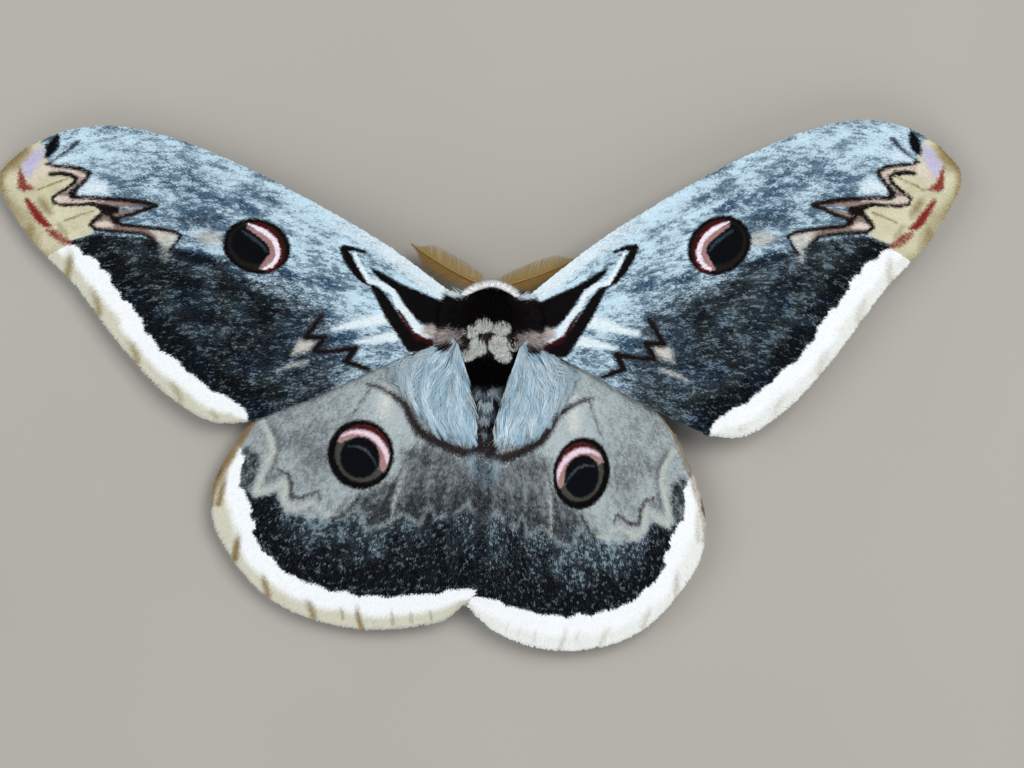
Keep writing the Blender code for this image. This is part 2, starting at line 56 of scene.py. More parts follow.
MM = 0.001
WAIST_Y = -7.9
BAKE_PATCH = 0.003
UP = np.array((0.0, 0.0, 1.0))
CHITIN_IOR = 1.56
COAT = "coat"
UNWRAP = "OFBake"
log = logging.getLogger("moth")


class Side(Enum):
    """The moth's own sides, as signs of X."""

    LEFT = -1
    RIGHT = 1


class Face(Enum):
    """The two faces of a wing, as signs of Z."""

    UPPER = 1
    UNDER = -1


class Seed(IntEnum):
    """The seeds of the body's random draws."""

    SPREAD = 77
    TRUNK = 78
    THORAX = 79
    THORAX_COLOUR = 80
    ABDOMEN = 81
    ABDOMEN_COLOUR = 82
    HEAD = 83
    HEAD_GREY = 84
    SKIN_COLOUR = 85
    LEGS = 86
    MANTLE = 300
    SHOULDER = 400
    COLLAR = 450
    ANTENNA = 500


def linear(colour: str) -> Array:
    """Turns an sRGB hex colour to linear light."""
    srgb = np.array([int(colour[i:i + 2], 16) for i in (1, 3, 5)]) / 255.0
    return np.where(srgb <= 0.04045, srgb / 12.92, ((srgb + 0.055) / 1.055) ** 2.4)


def smooth_step(value: Array) -> Array:
    """Rises smoothly from 0 at 0 to 1 at 1."""
    value = np.clip(value, 0.0, 1.0)
    return value * value * (3.0 - 2.0 * value)


def unit(vectors: Array) -> Array:
    """Scales each row to length 1."""
    return vectors / np.maximum(np.linalg.norm(vectors, axis=-1, keepdims=True), 1e-12)


def lattice(ix: Array, iy: Array, seed: int) -> Array:
    """A repeatable value from 0 to 1 for each whole-number point, where seed picks the pattern."""
    mixed = (ix * 374761393 + iy * 668265263 + seed * 974634777) & 0xFFFFFFFF
    mixed = ((mixed ^ (mixed >> 13)) * 1274126177) & 0xFFFFFFFF
    return ((mixed ^ (mixed >> 16)) & 0xFFFF) / 65535.0


def noise(x: Array, y: Array, seed: int) -> Array:
    """Smooth value noise from 0 to 1 with cells of size 1, where seed picks the pattern."""
    ix = np.floor(x).astype(np.int64)
    iy = np.floor(y).astype(np.int64)
    fx = smooth_step(x - ix)
    fy = smooth_step(y - iy)
    low = lattice(ix, iy, seed) * (1 - fx) + lattice(ix + 1, iy, seed) * fx
    high = lattice(ix, iy + 1, seed) * (1 - fx) + lattice(ix + 1, iy + 1, seed) * fx
    return low * (1 - fy) + high * fy


def gap_to_path(x: Array, y: Array, path: Path) -> tuple[Array, Array]:
    """Distance of each point to an open line.

    Args:
        x: First coordinates.
        y: Second coordinates.
        path: The line's points.

    Returns:
        The distance, and the share of the line's points passed at the nearest place.
    """
    best = np.full(x.shape, np.inf)
    share = np.zeros(x.shape)
    count = len(path) - 1
    for i, ((ax, ay), (bx, by)) in enumerate(zip(path, path[1:])):
        dx, dy = bx - ax, by - ay
        t = np.clip(((x - ax) * dx + (y - ay) * dy) / max(dx * dx + dy * dy, 1e-9), 0.0, 1.0)
        gap = np.hypot(x - ax - t * dx, y - ay - t * dy)
        nearer = gap < best
        best = np.where(nearer, gap, best)
        share = np.where(nearer, (i + t) / count, share)
    return best, share


def inside(x: Array, y: Array, outline: Path) -> Array:
    """Whether each point is inside a closed outline."""
    found = np.zeros(x.shape, bool)
    for (ax, ay), (bx, by) in zip(outline, (*outline[1:], outline[0])):
        if ay == by:
            continue
        crosses = (ay > y) != (by > y)
        found ^= crosses & (x < (bx - ax) * (y - ay) / (by - ay) + ax)
    return found


def depth_within(x: Array, y: Array, outline: Path, edge: Path | None = None) -> Array:
    """How deep each point lies within a closed outline.

    Args:
        x: First coordinates.
        y: Second coordinates.
        outline: The outline's corners.
        edge: The part of the outline to measure from, or None for all of it.

    Returns:
        The depths, less than zero outside.
    """
    gap, _ = gap_to_path(x, y, edge or (*outline, outline[0]))
    return np.where(inside(x, y, outline), gap, -gap)


def patch_cover(x: Array, y: Array, outline: Path, soft: float) -> Array:
    """How far a patch with a soft edge covers each point, from 0 to 1."""
    return smooth_step(0.5 + depth_within(x, y, outline) / (2 * soft))


class EdgeCurve:
    """A smooth curve through points, read by the share of its length."""

    def __init__(self, points: Path) -> None:
        """Takes the points in order."""
        self.points = np.array(points, float)
        steps = np.linalg.norm(np.diff(self.points, axis=0), axis=1)
        self.knots = np.concatenate([[0.0], np.cumsum(steps)]) / steps.sum()
        self.slopes = np.gradient(self.points, self.knots, axis=0)

    def at(self, share: Array) -> Array:
        """The points at these shares of the way, from 0 to 1, one row for each."""
        share = np.atleast_1d(share)
        i = np.clip(np.searchsorted(self.knots, share, side="right") - 1, 0, len(self.knots) - 2)
        width = (self.knots[i + 1] - self.knots[i])[:, None]
        t = (share - self.knots[i])[:, None] / width
        rise = t * t * (3 - 2 * t)
        leave = (t**3 - 2 * t**2 + t) * width * self.slopes[i]
        arrive = (t**3 - t**2) * width * self.slopes[i + 1]
        return (1 - rise) * self.points[i] + rise * self.points[i + 1] + leave + arrive

    def path(self, count: int) -> Path:
        """The curve as a line of count points."""
        return tuple(map(tuple, self.at(np.linspace(0.0, 1.0, count))))


@dataclass(frozen=True)
class Tone:
    """Two colours of a patch, the share of the dark one, and how much single scales stand out."""

    light: str
    dark: str
    share: float = 0.3
    fleck: float = 0.2


class Powder:
    """The colours of many scales, or of the skin below them, laid on patch after patch."""

    def __init__(self, x: Array, y: Array, share: Array, b: Array, draw: Array | None) -> None:
        """Takes each point's place and, for scales, a draw from 0 to 1 that settles soft edges."""
        self.x, self.y = x, y
        self.share, self.b = share, b
        self.draw = draw
        self.light = np.zeros((len(x), 3))
        self.dark = np.zeros((len(x), 3))
        self.dark_share = np.zeros(len(x))
        self.fleck = np.zeros(len(x))
        self.sleek = np.zeros(len(x))
        self.dash = np.full(len(x), 0.5)

    def lay(
        self, cover: Array, tone: Tone, dark_share: Array | None = None, stipple: float = 3.2
    ) -> None:
        """Lays a tone over what is there.

        Args:
            cover: How far it covers each point, from 0 to 1.
            tone: The tone to lay.
            dark_share: Its share of dark scales where that isn't the same all over.
            stipple: How far single scales settle a soft edge, against a smooth change.
        """
        if self.draw is not None:
            cover = np.clip(cover + stipple * cover * (1.0 - cover) * (self.draw - 0.5), 0.0, 1.0)
        amount = cover[:, None]
        self.light = self.light * (1 - amount) + linear(tone.light) * amount
        self.dark = self.dark * (1 - amount) + linear(tone.dark) * amount
        wanted = tone.share if dark_share is None else dark_share
        self.dark_share = self.dark_share * (1 - cover) + wanted * cover
        self.fleck = self.fleck * (1 - cover) + tone.fleck * cover

    def colours(self, rng: np.random.Generator) -> Array:
        """The colour of each point: near one of the two for a scale, and a plain mix for skin.

        Args:
            rng: The source of draws.

        Returns:
            Linear colours.
        """
        share = np.clip(self.dark_share, 0.0, 1.0)
        if self.draw is None:
            return self.light * (1 - share[:, None]) + self.dark * share[:, None]
        single, drift = rng.random((2, len(share)))
        single = np.clip(0.5 + 1.75 * (0.4 * single + 0.6 * self.dash - 0.5), 0.0, 1.0)
        even = np.clip(share + 0.4 * (drift - 0.5), 0.0, 1.0)
        picked = smooth_step(0.5 + (share - single) / 0.45)
        amount = (even * (1.0 - self.fleck) + picked * self.fleck)[:, None]
        jitter = 0.16 * (1.0 - 0.7 * self.sleek) * (rng.random(len(share)) - 0.5)
        return (self.light * (1 - amount) + self.dark * amount) * (1.0 + jitter)[:, None]


@dataclass(frozen=True)
class Stroke:
    """A line of scales of one tone, with its full width in millimetres at even steps along it."""

    path: Path
    widths: tuple[float, ...]
    tone: Tone
    soft: float = 0.15
    strength: float = 1.0
    stipple: float = 3.2

    def lay_on(self, powder: Powder) -> None:
        """Lays the line on the points near it."""
        gap, share = gap_to_path(powder.x, powder.y, self.path)
        half = np.interp(share, np.linspace(0.0, 1.0, len(self.widths)), self.widths) / 2
        cover = self.strength * smooth_step(0.5 + (half - gap) / (2 * self.soft))
        powder.lay(cover, self.tone, stipple=self.stipple)


@dataclass(frozen=True)
class Patch:
    """A closed patch of scales of one tone."""

    outline: Path
    tone: Tone
    soft: float = 0.15
    strength: float = 1.0

    def lay_on(self, powder: Powder) -> None:
        """Lays the patch."""
        cover = patch_cover(powder.x, powder.y, self.outline, self.soft)
        powder.lay(self.strength * cover, self.tone)


def lay_marks(powder: Powder, *marks: Stroke | Patch) -> None:
    """Lays marks one after another."""
    for mark in marks:
        mark.lay_on(powder)


@dataclass(frozen=True)
class Disc:
    """A round patch of an eye spot: its centre and radius as shares of the spot's half axes.

    A crescent disc ends at the horns, and what follows a clipping disc stays within it.
    """

    out: float
    forward: float
    radius: float
    tone: Tone
    crescent: bool = False
    clips: bool = False


@dataclass(frozen=True)
class EyeSpot:
    """A black ring round discs that slip past one another, which leaves a pale crescent."""

    centre: tuple[float, float]
    half: tuple[float, float]
    discs: tuple[Disc, ...]
    strokes: tuple[Stroke, ...]
    tilt_deg: float = 0.0
    horns_deg: tuple[float, float] = (0.0, 360.0)
    soft: float = 0.045

    def lay_on(self, powder: Powder, shift: tuple[float, float]) -> None:
        """Lays the ring, and within it the discs from the outside in.

        Args:
            powder: Where to lay them.
            shift: How far this wing's spot is from the centre, in millimetres.
        """
        dx = powder.x - self.centre[0] - shift[0]
        dy = powder.y - self.centre[1] - shift[1]
        tilt = math.radians(self.tilt_deg)
        u = (dx * math.cos(tilt) + dy * math.sin(tilt)) / self.half[0]
        v = (dy * math.cos(tilt) - dx * math.sin(tilt)) / self.half[1]
        within = np.ones(len(u))
        angle = np.degrees(np.arctan2(v, u)) % 360.0
        low, high = self.horns_deg
        sector = smooth_step(0.5 + np.minimum(angle - low, high - angle) / 6.0)
        for disc in self.discs:
            away = np.hypot(u - disc.out, v - disc.forward)
            cover = np.minimum(smooth_step(0.5 + (disc.radius - away) / (2 * self.soft)), within)
            within = cover if disc.clips else within
            powder.lay(np.minimum(cover, sector) if disc.crescent else cover, disc.tone)
        powder.x, powder.y = powder.x - shift[0], powder.y - shift[1]
        lay_marks(powder, *self.strokes)
        powder.x, powder.y = powder.x + shift[0], powder.y + shift[1]


BLACK_RING = Tone("#0B0809", "#040304", 0.5)
WHITE = Tone("#FFFFFF", "#E6F2F7", 0.25, 0.05)
CREAM = Tone("#DAD6B9", "#BDB592", 0.35, 0.1)
EDGE_CREAM = Tone("#DCDAC8", "#C2BFA9", 0.4, 0.05)
# Painted grey shade for the very rim of a wing's border.
RIM_SHADE = Tone("#B9BDB4", "#999D95", 0.4, 0.05)
OLIVE = Tone("#9F9164", "#7F6F42", 0.5, 0.1)
BROWN_STAIN = Tone("#967947", "#6E5630", 0.5, 0.1)
ICE = Tone("#CFE9F6", "#0F3A5A", 0.35, 0.6)
CHARCOAL = Tone("#7F929D", "#06080A", 0.9, 0.7)
CHARCOAL_BLUE = Tone("#7391AB", "#080E17", 0.9, 0.7)
LINE = Tone("#1F1213", "#100A0B", 0.6)
PINK_FILL = Tone("#A6958A", "#6B5952", 0.5, 0.4)
PINK_CORE = Tone("#EADCD0", "#CDB9AC", 0.35, 0.1)
MAROON = Tone("#4A0F13", "#1C0608", 0.5)
RED = Tone("#93302A", "#6E201D", 0.4)
VELVET = Tone("#1A1416", "#0A080A", 0.6)
LILAC = Tone("#D4CDE8", "#A9A2C8", 0.4)
SNOW = Tone("#F2FAFD", "#BFD8E4", 0.25)
PALE_ROSE = Tone("#D0C6C2", "#857A78", 0.45, 0.4)
PALE_GREY = Tone("#D2D4CD", "#6F7677", 0.4, 0.4)

FORE_SPOT = EyeSpot(
    centre=(35.5, 11.15),
    half=(5.25, 4.15),
    tilt_deg=12.6,
    discs=(
        Disc(0.0, 0.0, 1.0, BLACK_RING),
        Disc(-0.02, 0.0, 0.86, Tone("#24221E", "#131210", 0.5)),
        Disc(0.06, 0.05, 0.70, Tone("#0A0E13", "#040608", 0.6)),
    ),
    strokes=(
        Stroke(
            (
                (36.1, 14.6), (34.6, 14.2), (33.2, 13.3), (32.2, 12.1),
                (31.7, 10.7), (31.8, 9.3), (32.7, 8.0), (33.9, 7.5),
            ),
            (0.4, 0.7, 0.8, 0.8, 0.8, 0.8, 0.7, 0.3), Tone("#5A1014", "#2C080B", 0.4), 0.18,
        ),
        Stroke(
            (
                (36.9, 13.9), (35.6, 13.3), (34.5, 12.6), (33.6, 11.8),
                (33.0, 10.9), (33.1, 9.9), (33.8, 8.8), (34.7, 7.9),
            ),
            (0.4, 0.8, 0.85, 0.75, 0.75, 0.8, 0.95, 0.5), Tone("#B48C8A", "#8D6665", 0.4), 0.1,
        ),
        Stroke(
            (
                (36.9, 14.45), (35.7, 14.0), (34.3, 13.3), (33.2, 12.5), (32.5, 11.5),
                (32.2, 10.5), (32.4, 9.3), (33.1, 8.4), (34.2, 7.8),
            ),
            (0.25, 0.6, 0.75, 0.75, 0.75, 0.75, 0.75, 0.7, 0.35), Tone("#FDF1FA", "#E2D0E0", 0.2), 0.1,
        ),
        Stroke(
            ((37.7, 13.3), (36.5, 12.6), (35.4, 11.9), (34.4, 11.1), (34.0, 10.4)),
            (0.2, 0.45, 0.5, 0.4, 0.2), Tone("#3D4C5A", "#1D2730", 0.5), 0.2,
        ),
    ),
)
HIND_SPOT = EyeSpot(
    centre=(18.6, -19.4),
    half=(5.05, 5.25),
    horns_deg=(28.0, 212.0),
    discs=(
        Disc(0.0, 0.0, 1.0, BLACK_RING),
        Disc(-0.05, 0.03, 0.81, Tone("#565550", "#35342F", 0.5), clips=True),
        Disc(-0.05, 0.03, 0.82, Tone("#5E1215", "#34080B", 0.4), crescent=True),
        Disc(0.05, -0.24, 0.95, Tone("#F8E6F0", "#D9BCCB", 0.3), crescent=True),
        Disc(0.17, -0.39, 0.97, Tone("#BB8987", "#926666", 0.35), crescent=True),
        Disc(0.18, -0.34, 0.83, Tone("#B0A097", "#8C7D76", 0.4), crescent=True),
        Disc(0.20, -0.38, 0.78, Tone("#0D131C", "#04060A", 0.6), crescent=True),
        Disc(0.02, -0.08, 0.6, Tone("#0B1018", "#030508", 0.6)),
    ),
    strokes=(
        Stroke(
            ((20.6, -18.2), (19.1, -18.2), (17.8, -18.7), (16.7, -19.9), (16.1, -21.0)),
            (0.1, 0.25, 0.3, 0.25, 0.1), Tone("#5C6570", "#2A323B", 0.5), 0.18,
        ),
    ),
)


@dataclass(frozen=True)
class Hold:
    """How a wing is held next to the left one: its spread, forward swing, length and lean."""

    across: float = 1.0
    swing: float = 0.0
    along: float = 1.0
    lean: float = 0.0

    HINGE_X = 6.0
    LEAN_FROM_Y = -4.0
    LEAN_REACH = 10.0
    SEAM_BEND = 1.5
    SEAM_BEND_FROM_Y = -38.6
    SEAM_BEND_OVER = 3.2
    SEAM_BEND_REACH = 8.0

    def place(self, side: Side, x: Array, y: Array) -> tuple[Array, Array]:
        """Turns places in the left wing's plan to this wing's.

        Args:
            side: The moth's own side.
            x: Out from the midline, in millimetres.
            y: Forward, in millimetres.

        Returns:
            How far each point is out and forward. The hindwings' seam bends to the left.
        """
        beyond = np.maximum(x - self.HINGE_X, 0.0)
        out = np.minimum(x, self.HINGE_X) + beyond * self.across
        out = out + self.lean * np.minimum(y - self.LEAN_FROM_Y, 0.0) * smooth_step(x / self.LEAN_REACH)
        forward = y * self.along + beyond * self.swing
        bend = smooth_step((self.SEAM_BEND_FROM_Y - forward) / self.SEAM_BEND_OVER)
        out = out - side.value * self.SEAM_BEND * bend * smooth_step(1.0 - x / self.SEAM_BEND_REACH)
        return out, forward


@dataclass(frozen=True)
class WingPlan:
    """Outline, veins and bend of one kind of wing, in millimetres as it lies on the left side."""

    name: str
    front: Path
    outer: Path
    back: Path
    root: Path
    level: float
    bow: float
    curl: float
    wave: float
    dash_length: float
    veins: tuple[float, ...]
    vein_starts: tuple[float, ...]
    right_hold: Hold

    def hold(self, side: Side) -> Hold:
        """How that side's wing is held."""
        return self.right_hold if side is Side.RIGHT else Hold()


FORE_PLAN = WingPlan(
    name="forewing",
    front=(
        (5.0, 4.6), (17.3, 12.8), (26.1, 17.5), (38.1, 23.1),
        (49.8, 27.2), (58.5, 28.5), (65.7, 27.4), (71.6, 24.6),
    ),
    outer=(
        (71.6, 24.6), (75.2, 20.8), (71.3, 12.3), (63.5, 4.6),
        (55.3, -5.1), (46.8, -12.8), (41.2, -15.5), (35.4, -15.2),
    ),
    back=((6.0, -1.8), (14.0, -5.1), (24.5, -10.4), (35.4, -15.2)),
    root=((5.0, 4.6), (6.0, 1.4), (6.0, -1.8)),
    level=0.6,
    bow=0.7,
    curl=0.9,
    wave=0.0,
    dash_length=0.8,
    veins=(0.07, 0.20, 0.34, 0.48, 0.62, 0.76, 0.91),
    vein_starts=(0.0, 0.42, 0.42, 0.42, 0.36, 0.0, 0.0),
    right_hold=Hold(0.925, 0.062, 1.07, 0.0),
)
HIND_PLAN = WingPlan(
    name="hindwing",
    front=((5.9, -1.2), (13.5, -3.0), (21.5, -5.3), (28.6, -8.9), (34.0, -13.4)),
    outer=(
        (34.0, -13.4), (37.8, -18.8), (40.8, -25.1), (40.8, -30.2), (37.5, -36.2), (31.5, -42.1),
        (24.5, -44.9), (17.4, -45.9), (9.6, -45.1), (3.5, -43.4), (0.2, -40.7),
    ),
    back=((4.9, -6.2), (2.9, -10.9), (0.8, -16.5), (0.2, -22.0), (0.2, -31.0), (0.2, -40.7)),
    root=((5.9, -1.2), (5.7, -3.8), (4.9, -6.2)),
    level=-0.6,
    bow=0.0,
    curl=0.5,
    wave=0.12,
    dash_length=0.4,
    veins=(0.10, 0.24, 0.38, 0.52, 0.66, 0.80),
    vein_starts=(0.0, 0.38, 0.38, 0.32, 0.0, 0.0),
    right_hold=Hold(0.84, -0.044, 1.032, 0.081),
)
MARGIN_HEIGHT = {Side.LEFT: 2.9, Side.RIGHT: 5.2}
SHEET_HEIGHT = 9.3


def sheet_height(side: Side, x: Array, y: Array) -> Array:
    """Height of the sheet that both wings of a side follow.

    Args:
        side: The moth's own side.
        x: Out from the midline, in millimetres.
        y: Forward, in millimetres.

    Returns:
        Heights in millimetres, highest over the body and lowest at the margins.
    """
    margin = MARGIN_HEIGHT[side]
    ridge = SHEET_HEIGHT - 4.6 * smooth_step((-24.0 - y) / 24.0)
    fall = np.exp(-(np.maximum(np.abs(x) - 4.0, 0.0) / 27.0) ** 1.5)
    seam = 0.45 * np.exp(-((x / 1.6) ** 2)) * smooth_step((-14.0 - y) / 4.0)
    return margin + (ridge - margin) * fall - seam


class WingSurface:
    """The middle sheet of one wing, as a patch between its four edges.

    share runs from the root to the outer margin, and b from the front edge to the back.
    """

    VEIN_HEIGHT = 0.13
    VEIN_HALF_WIDTH = 0.45
    DASH_WIDTH = 0.3

    def __init__(self, plan: WingPlan, side: Side, origin: Vector) -> None:
        """Takes the wing's plan, its side and where the body's zero is."""
        self.plan = plan
        self.side = side
        self.origin = np.array(origin)
        self.front = EdgeCurve(plan.front)
        self.outer = EdgeCurve(plan.outer)
        self.back = EdgeCurve(plan.back)
        self.root = EdgeCurve(plan.root)

    def flat(self, share: Array, b: Array) -> Array:
        """Places in the left wing's plan, in millimetres.

        Args:
            share: Shares of the way to the margin.
            b: Shares of the way from the front edge to the back.

        Returns:
            One row for each pair.
        """
        s = share[:, None]
        t = b[:, None]
        patch = (1 - t) * self.front.at(share) + t * self.back.at(share)
        patch += (1 - s) * self.root.at(b) + s * self.outer.at(b)
        near = (1 - t) * self.root.points[0] + t * self.root.points[-1]
        far = (1 - t) * self.outer.points[0] + t * self.outer.points[-1]
        return patch - (1 - s) * near - s * far

    def at(self, share: Array, b: Array) -> Array:
        """Places of the middle sheet in the row frame, in metres, as flat() takes its arguments."""
        x, y = self.flat(share, b).T
        px, py = self.plan.hold(self.side).place(self.side, x, y)
        z = sheet_height(self.side, px, py) + self.plan.level * smooth_step(x / 4.0)
        z += self.plan.bow * np.sin(np.pi * share) * np.sin(np.pi * b) - self.plan.curl * share**7
        z += self.plan.wave * share**4 * np.sin(11.0 * np.pi * b)
        return np.stack([self.side.value * px, py, z], 1) * MM + self.origin

    def relief(self, share: Array, b: Array) -> Array:
        """Height of the veins over the sheet, in metres, as flat() takes its arguments."""
        chord = np.linalg.norm(self.back.at(share) - self.front.at(share), axis=1)
        height = np.zeros(len(share))
        for vein, start in zip(self.plan.veins, self.plan.vein_starts):
            near = smooth_step(1.0 - np.abs(b - vein) * chord / self.VEIN_HALF_WIDTH)
            begun = smooth_step((share - start) / 0.08 + 0.5 * (start == 0.0))
            height = np.maximum(height, near * begun * (1.0 - 0.5 * share))
        return height * self.VEIN_HEIGHT * MM

    def dashes(self, share: Array, b: Array, seed: int) -> Array:
        """Noise from 0 to 1 in short dashes along the lie of the scales, as noise() makes it."""
        chord = np.linalg.norm(self.back.at(share) - self.front.at(share), axis=1)
        reach = np.linalg.norm(self.outer.at(0.5) - self.root.at(0.5))
        return noise((b - 0.5) * chord / self.DASH_WIDTH, share * reach / self.plan.dash_length, seed)

    def directions(self, share: Array, b: Array) -> tuple[Array, Array, Array, Array]:
        """The lie of the scales.

        Args:
            share: Shares of the way to the margin.
            b: Shares of the way from the front edge to the back.

        Returns:
            The direction to the margin in the plan, the same in the row frame, the direction to
            the back edge, and the normal.
        """
        step = 0.002
        low, high = np.maximum(share - step, 0.0), np.minimum(share + step, 1.0)
        flat = unit(self.flat(high, b) - self.flat(low, b))
        ahead = unit(self.at(high, b) - self.at(low, b))
        front, rear = np.maximum(b - step, 0.0), np.minimum(b + step, 1.0)
        across = unit(self.at(share, rear) - self.at(share, front))
        up = unit(np.cross(ahead, across))
        return flat, ahead, across, up * np.sign(up[:, 2:3])

    def scatter(self, count: int, reach: float, rng: np.random.Generator) -> tuple[Array, Array]:
        """Places spread evenly over the wing.

        Args:
            count: How many.
            reach: The largest share used.
            rng: The source of draws.

        Returns:
            Their shares and their values of b.
        """
        cells = (150, 90)
        s = np.linspace(0.0, reach, cells[0] + 1)
        t = np.linspace(0.0, 1.0, cells[1] + 1)
        grid = self.flat(*[g.ravel() for g in np.meshgrid(s, t, indexing="ij")])
        grid = grid.reshape(cells[0] + 1, cells[1] + 1, 2)
        one = grid[1:, 1:] - grid[:-1, :-1]
        two = grid[1:, :-1] - grid[:-1, 1:]
        area = np.abs(one[..., 0] * two[..., 1] - one[..., 1] * two[..., 0]).ravel()
        total = np.cumsum(area) / area.sum()
        picked = np.searchsorted(total, (np.arange(count) + rng.random(count)) / count)
        row, column = np.divmod(np.minimum(picked, len(area) - 1), cells[1])
        share = (row + rng.random(count)) / cells[0] * reach
        return share, (column + rng.random(count)) / cells[1]


class ForewingPattern:
    """The forewing's fields, bands, lines and eye spot, in the left wing's millimetres."""

    CHARCOAL_EDGE = (
        (64.3, 11.0), (62.2, 11.6), (59.5, 12.2), (52.0, 11.8), (47.6, 10.4), (41.0, 8.9), (35.3, 6.6),
        (29.5, 4.6), (25.3, 1.0), (23.5, -3.5), (20.5, -8.5),
    )
    BAND_EDGE = (
        (63.9, 10.6), (62.2, 9.6), (59.6, 7.8), (57.8, 5.9), (56.9, 4.0), (55.0, 2.1), (53.4, 0.6),
        (52.2, -1.8), (50.1, -4.5), (47.2, -6.5), (43.5, -9.4), (40.5, -11.2), (37.2, -12.6), (35.6, -15.0),
    )
    BAND_STAINS = (
        (((64.1, 9.4), (63.9, 8.0), (64.2, 6.0), (64.6, 4.6)), 1.1, 0.9),
        (((60.5, 3.9), (59.5, 1.8), (59.2, 0.4), (59.6, -0.6)), 1.0, 0.8),
        (((54.6, -3.6), (53.4, -5.6), (53.1, -6.8), (53.6, -7.8)), 1.0, 0.8),
        (((48.0, -9.4), (47.1, -10.7), (46.4, -11.9), (46.0, -13.4)), 0.9, 0.55),
        (((41.8, -13.6), (41.0, -14.3), (40.4, -15.0)), 0.8, 0.45),
    )
    ZIGZAG_INNER = (
        (68.0, 22.5), (66.6, 22.2), (64.3, 22.1), (62.5, 21.9), (61.3, 21.3), (61.7, 20.5), (62.6, 19.5),
        (63.9, 18.3), (64.1, 17.7), (62.9, 17.5), (60.2, 17.6), (56.7, 17.5), (53.6, 17.2), (50.9, 16.8),
        (52.4, 16.2), (54.7, 15.3), (56.6, 14.7), (57.4, 14.1), (56.2, 13.7), (53.4, 13.5), (50.5, 13.3),
        (48.0, 12.9), (47.0, 12.4), (47.7, 11.3), (48.8, 9.9),
    )
    ZIGZAG_OUTER = (
        (67.4, 20.9), (65.8, 21.1), (64.2, 20.9), (63.4, 20.5), (63.6, 19.8), (64.6, 19.0), (66.1, 18.0),
        (66.9, 17.3), (66.6, 16.6), (65.2, 16.3), (62.5, 16.5), (60.6, 16.7),
    )
    ZIGZAG_LOWER = (
        (59.3, 15.1), (60.5, 14.1), (60.9, 13.5), (60.0, 12.8), (58.3, 12.7), (55.4, 12.6), (52.4, 12.3),
        (51.0, 11.4),
    )
    WEDGE = (
        (61.3, 16.6), (59.8, 16.8), (56.4, 16.3), (56.8, 15.4), (58.2, 15.0), (59.3, 15.1), (59.7, 15.9),
    )
    ROOT_BAND = (
        (19.1, 10.8), (20.8, 11.3), (22.3, 11.2), (21.7, 10.0), (20.5, 8.1), (19.2, 6.7), (17.7, 6.0),
        (16.2, 4.0), (14.9, 1.9), (13.7, 0.3), (12.4, -1.4), (11.4, -2.6), (10.2, -2.7), (8.6, -2.2),
    )
    ROOT_BAND_WIDTHS = (0.5, 0.7, 1.2, 1.5, 1.3, 1.0, 0.9, 1.7, 2.0, 2.0, 2.2, 2.4, 2.0, 1.2)
    WHITE_LINE = (
        (20.6, 10.5), (19.5, 8.4), (18.2, 6.5), (16.3, 6.1), (14.6, 5.0), (13.8, 3.4), (12.0, 1.5),
        (10.8, -0.3), (9.1, -1.0),
    )
    ROOT_WEDGE = (
        (18.1, 8.7), (16.6, 8.0), (13.4, 6.3), (11.0, 5.4), (7.1, 3.9), (5.2, 3.7), (3.1, 0.0),
        (5.5, -1.1), (7.9, -0.7), (9.6, 0.2), (11.6, 1.5), (13.3, 3.9), (14.1, 5.0), (16.3, 6.4),
        (17.8, 7.8),
    )
    MIDDLE_LINE = (
        (25.1, 1.2), (27.5, -2.2), (24.6, -2.1), (26.2, -4.2), (24.0, -4.2), (20.0, -3.6), (21.3, -5.6),
        (17.9, -6.6),
    )
    CLUSTERS = (
        (50.9, 22.6, 4.6, 0.2), (45.6, 17.4, 5.6, 0.3), (42.8, 15.4, 3.6, 0.32), (36.0, 17.0, 4.0, 0.14),
        (54.6, 15.2, 2.4, 0.35), (49.5, 14.9, 3.0, 0.2), (24.5, 6.5, 3.6, 0.2), (21.0, -1.2, 4.4, 0.42),
        (31.0, 7.4, 3.0, 0.25), (47.4, 21.0, 3.0, 0.15), (28.0, 11.0, 4.6, -0.3), (17.5, 3.2, 4.2, -0.35),
        (60.5, 25.2, 4.5, -0.15), (60.6, 19.0, 2.2, -0.4), (12.0, 8.5, 5.0, -0.35), (7.0, 5.6, 3.5, -0.5),
        (65.2, 23.3, 1.8, -0.25),
    )

    def __init__(self, side: Side) -> None:
        """The right wing is lighter with painted sheen, its border whiter, and its eye spot further out."""
        self.painted_sheen = 0.0 if side is Side.LEFT else 0.1
        self.cream = 1.0 if side is Side.LEFT else 0.4
        self.spot_shift = (0.0, 0.0) if side is Side.LEFT else (0.45, 0.2)

    def paint(self, powder: Powder) -> None:
        """Lays every field and mark, from the ground up."""
        self.ground(powder)
        self.base_marks(powder)
        self.apex(powder)
        self.margin_band(powder)
        self.zigzag(powder)
        self.red_marks(powder)
        FORE_SPOT.lay_on(powder, self.spot_shift)

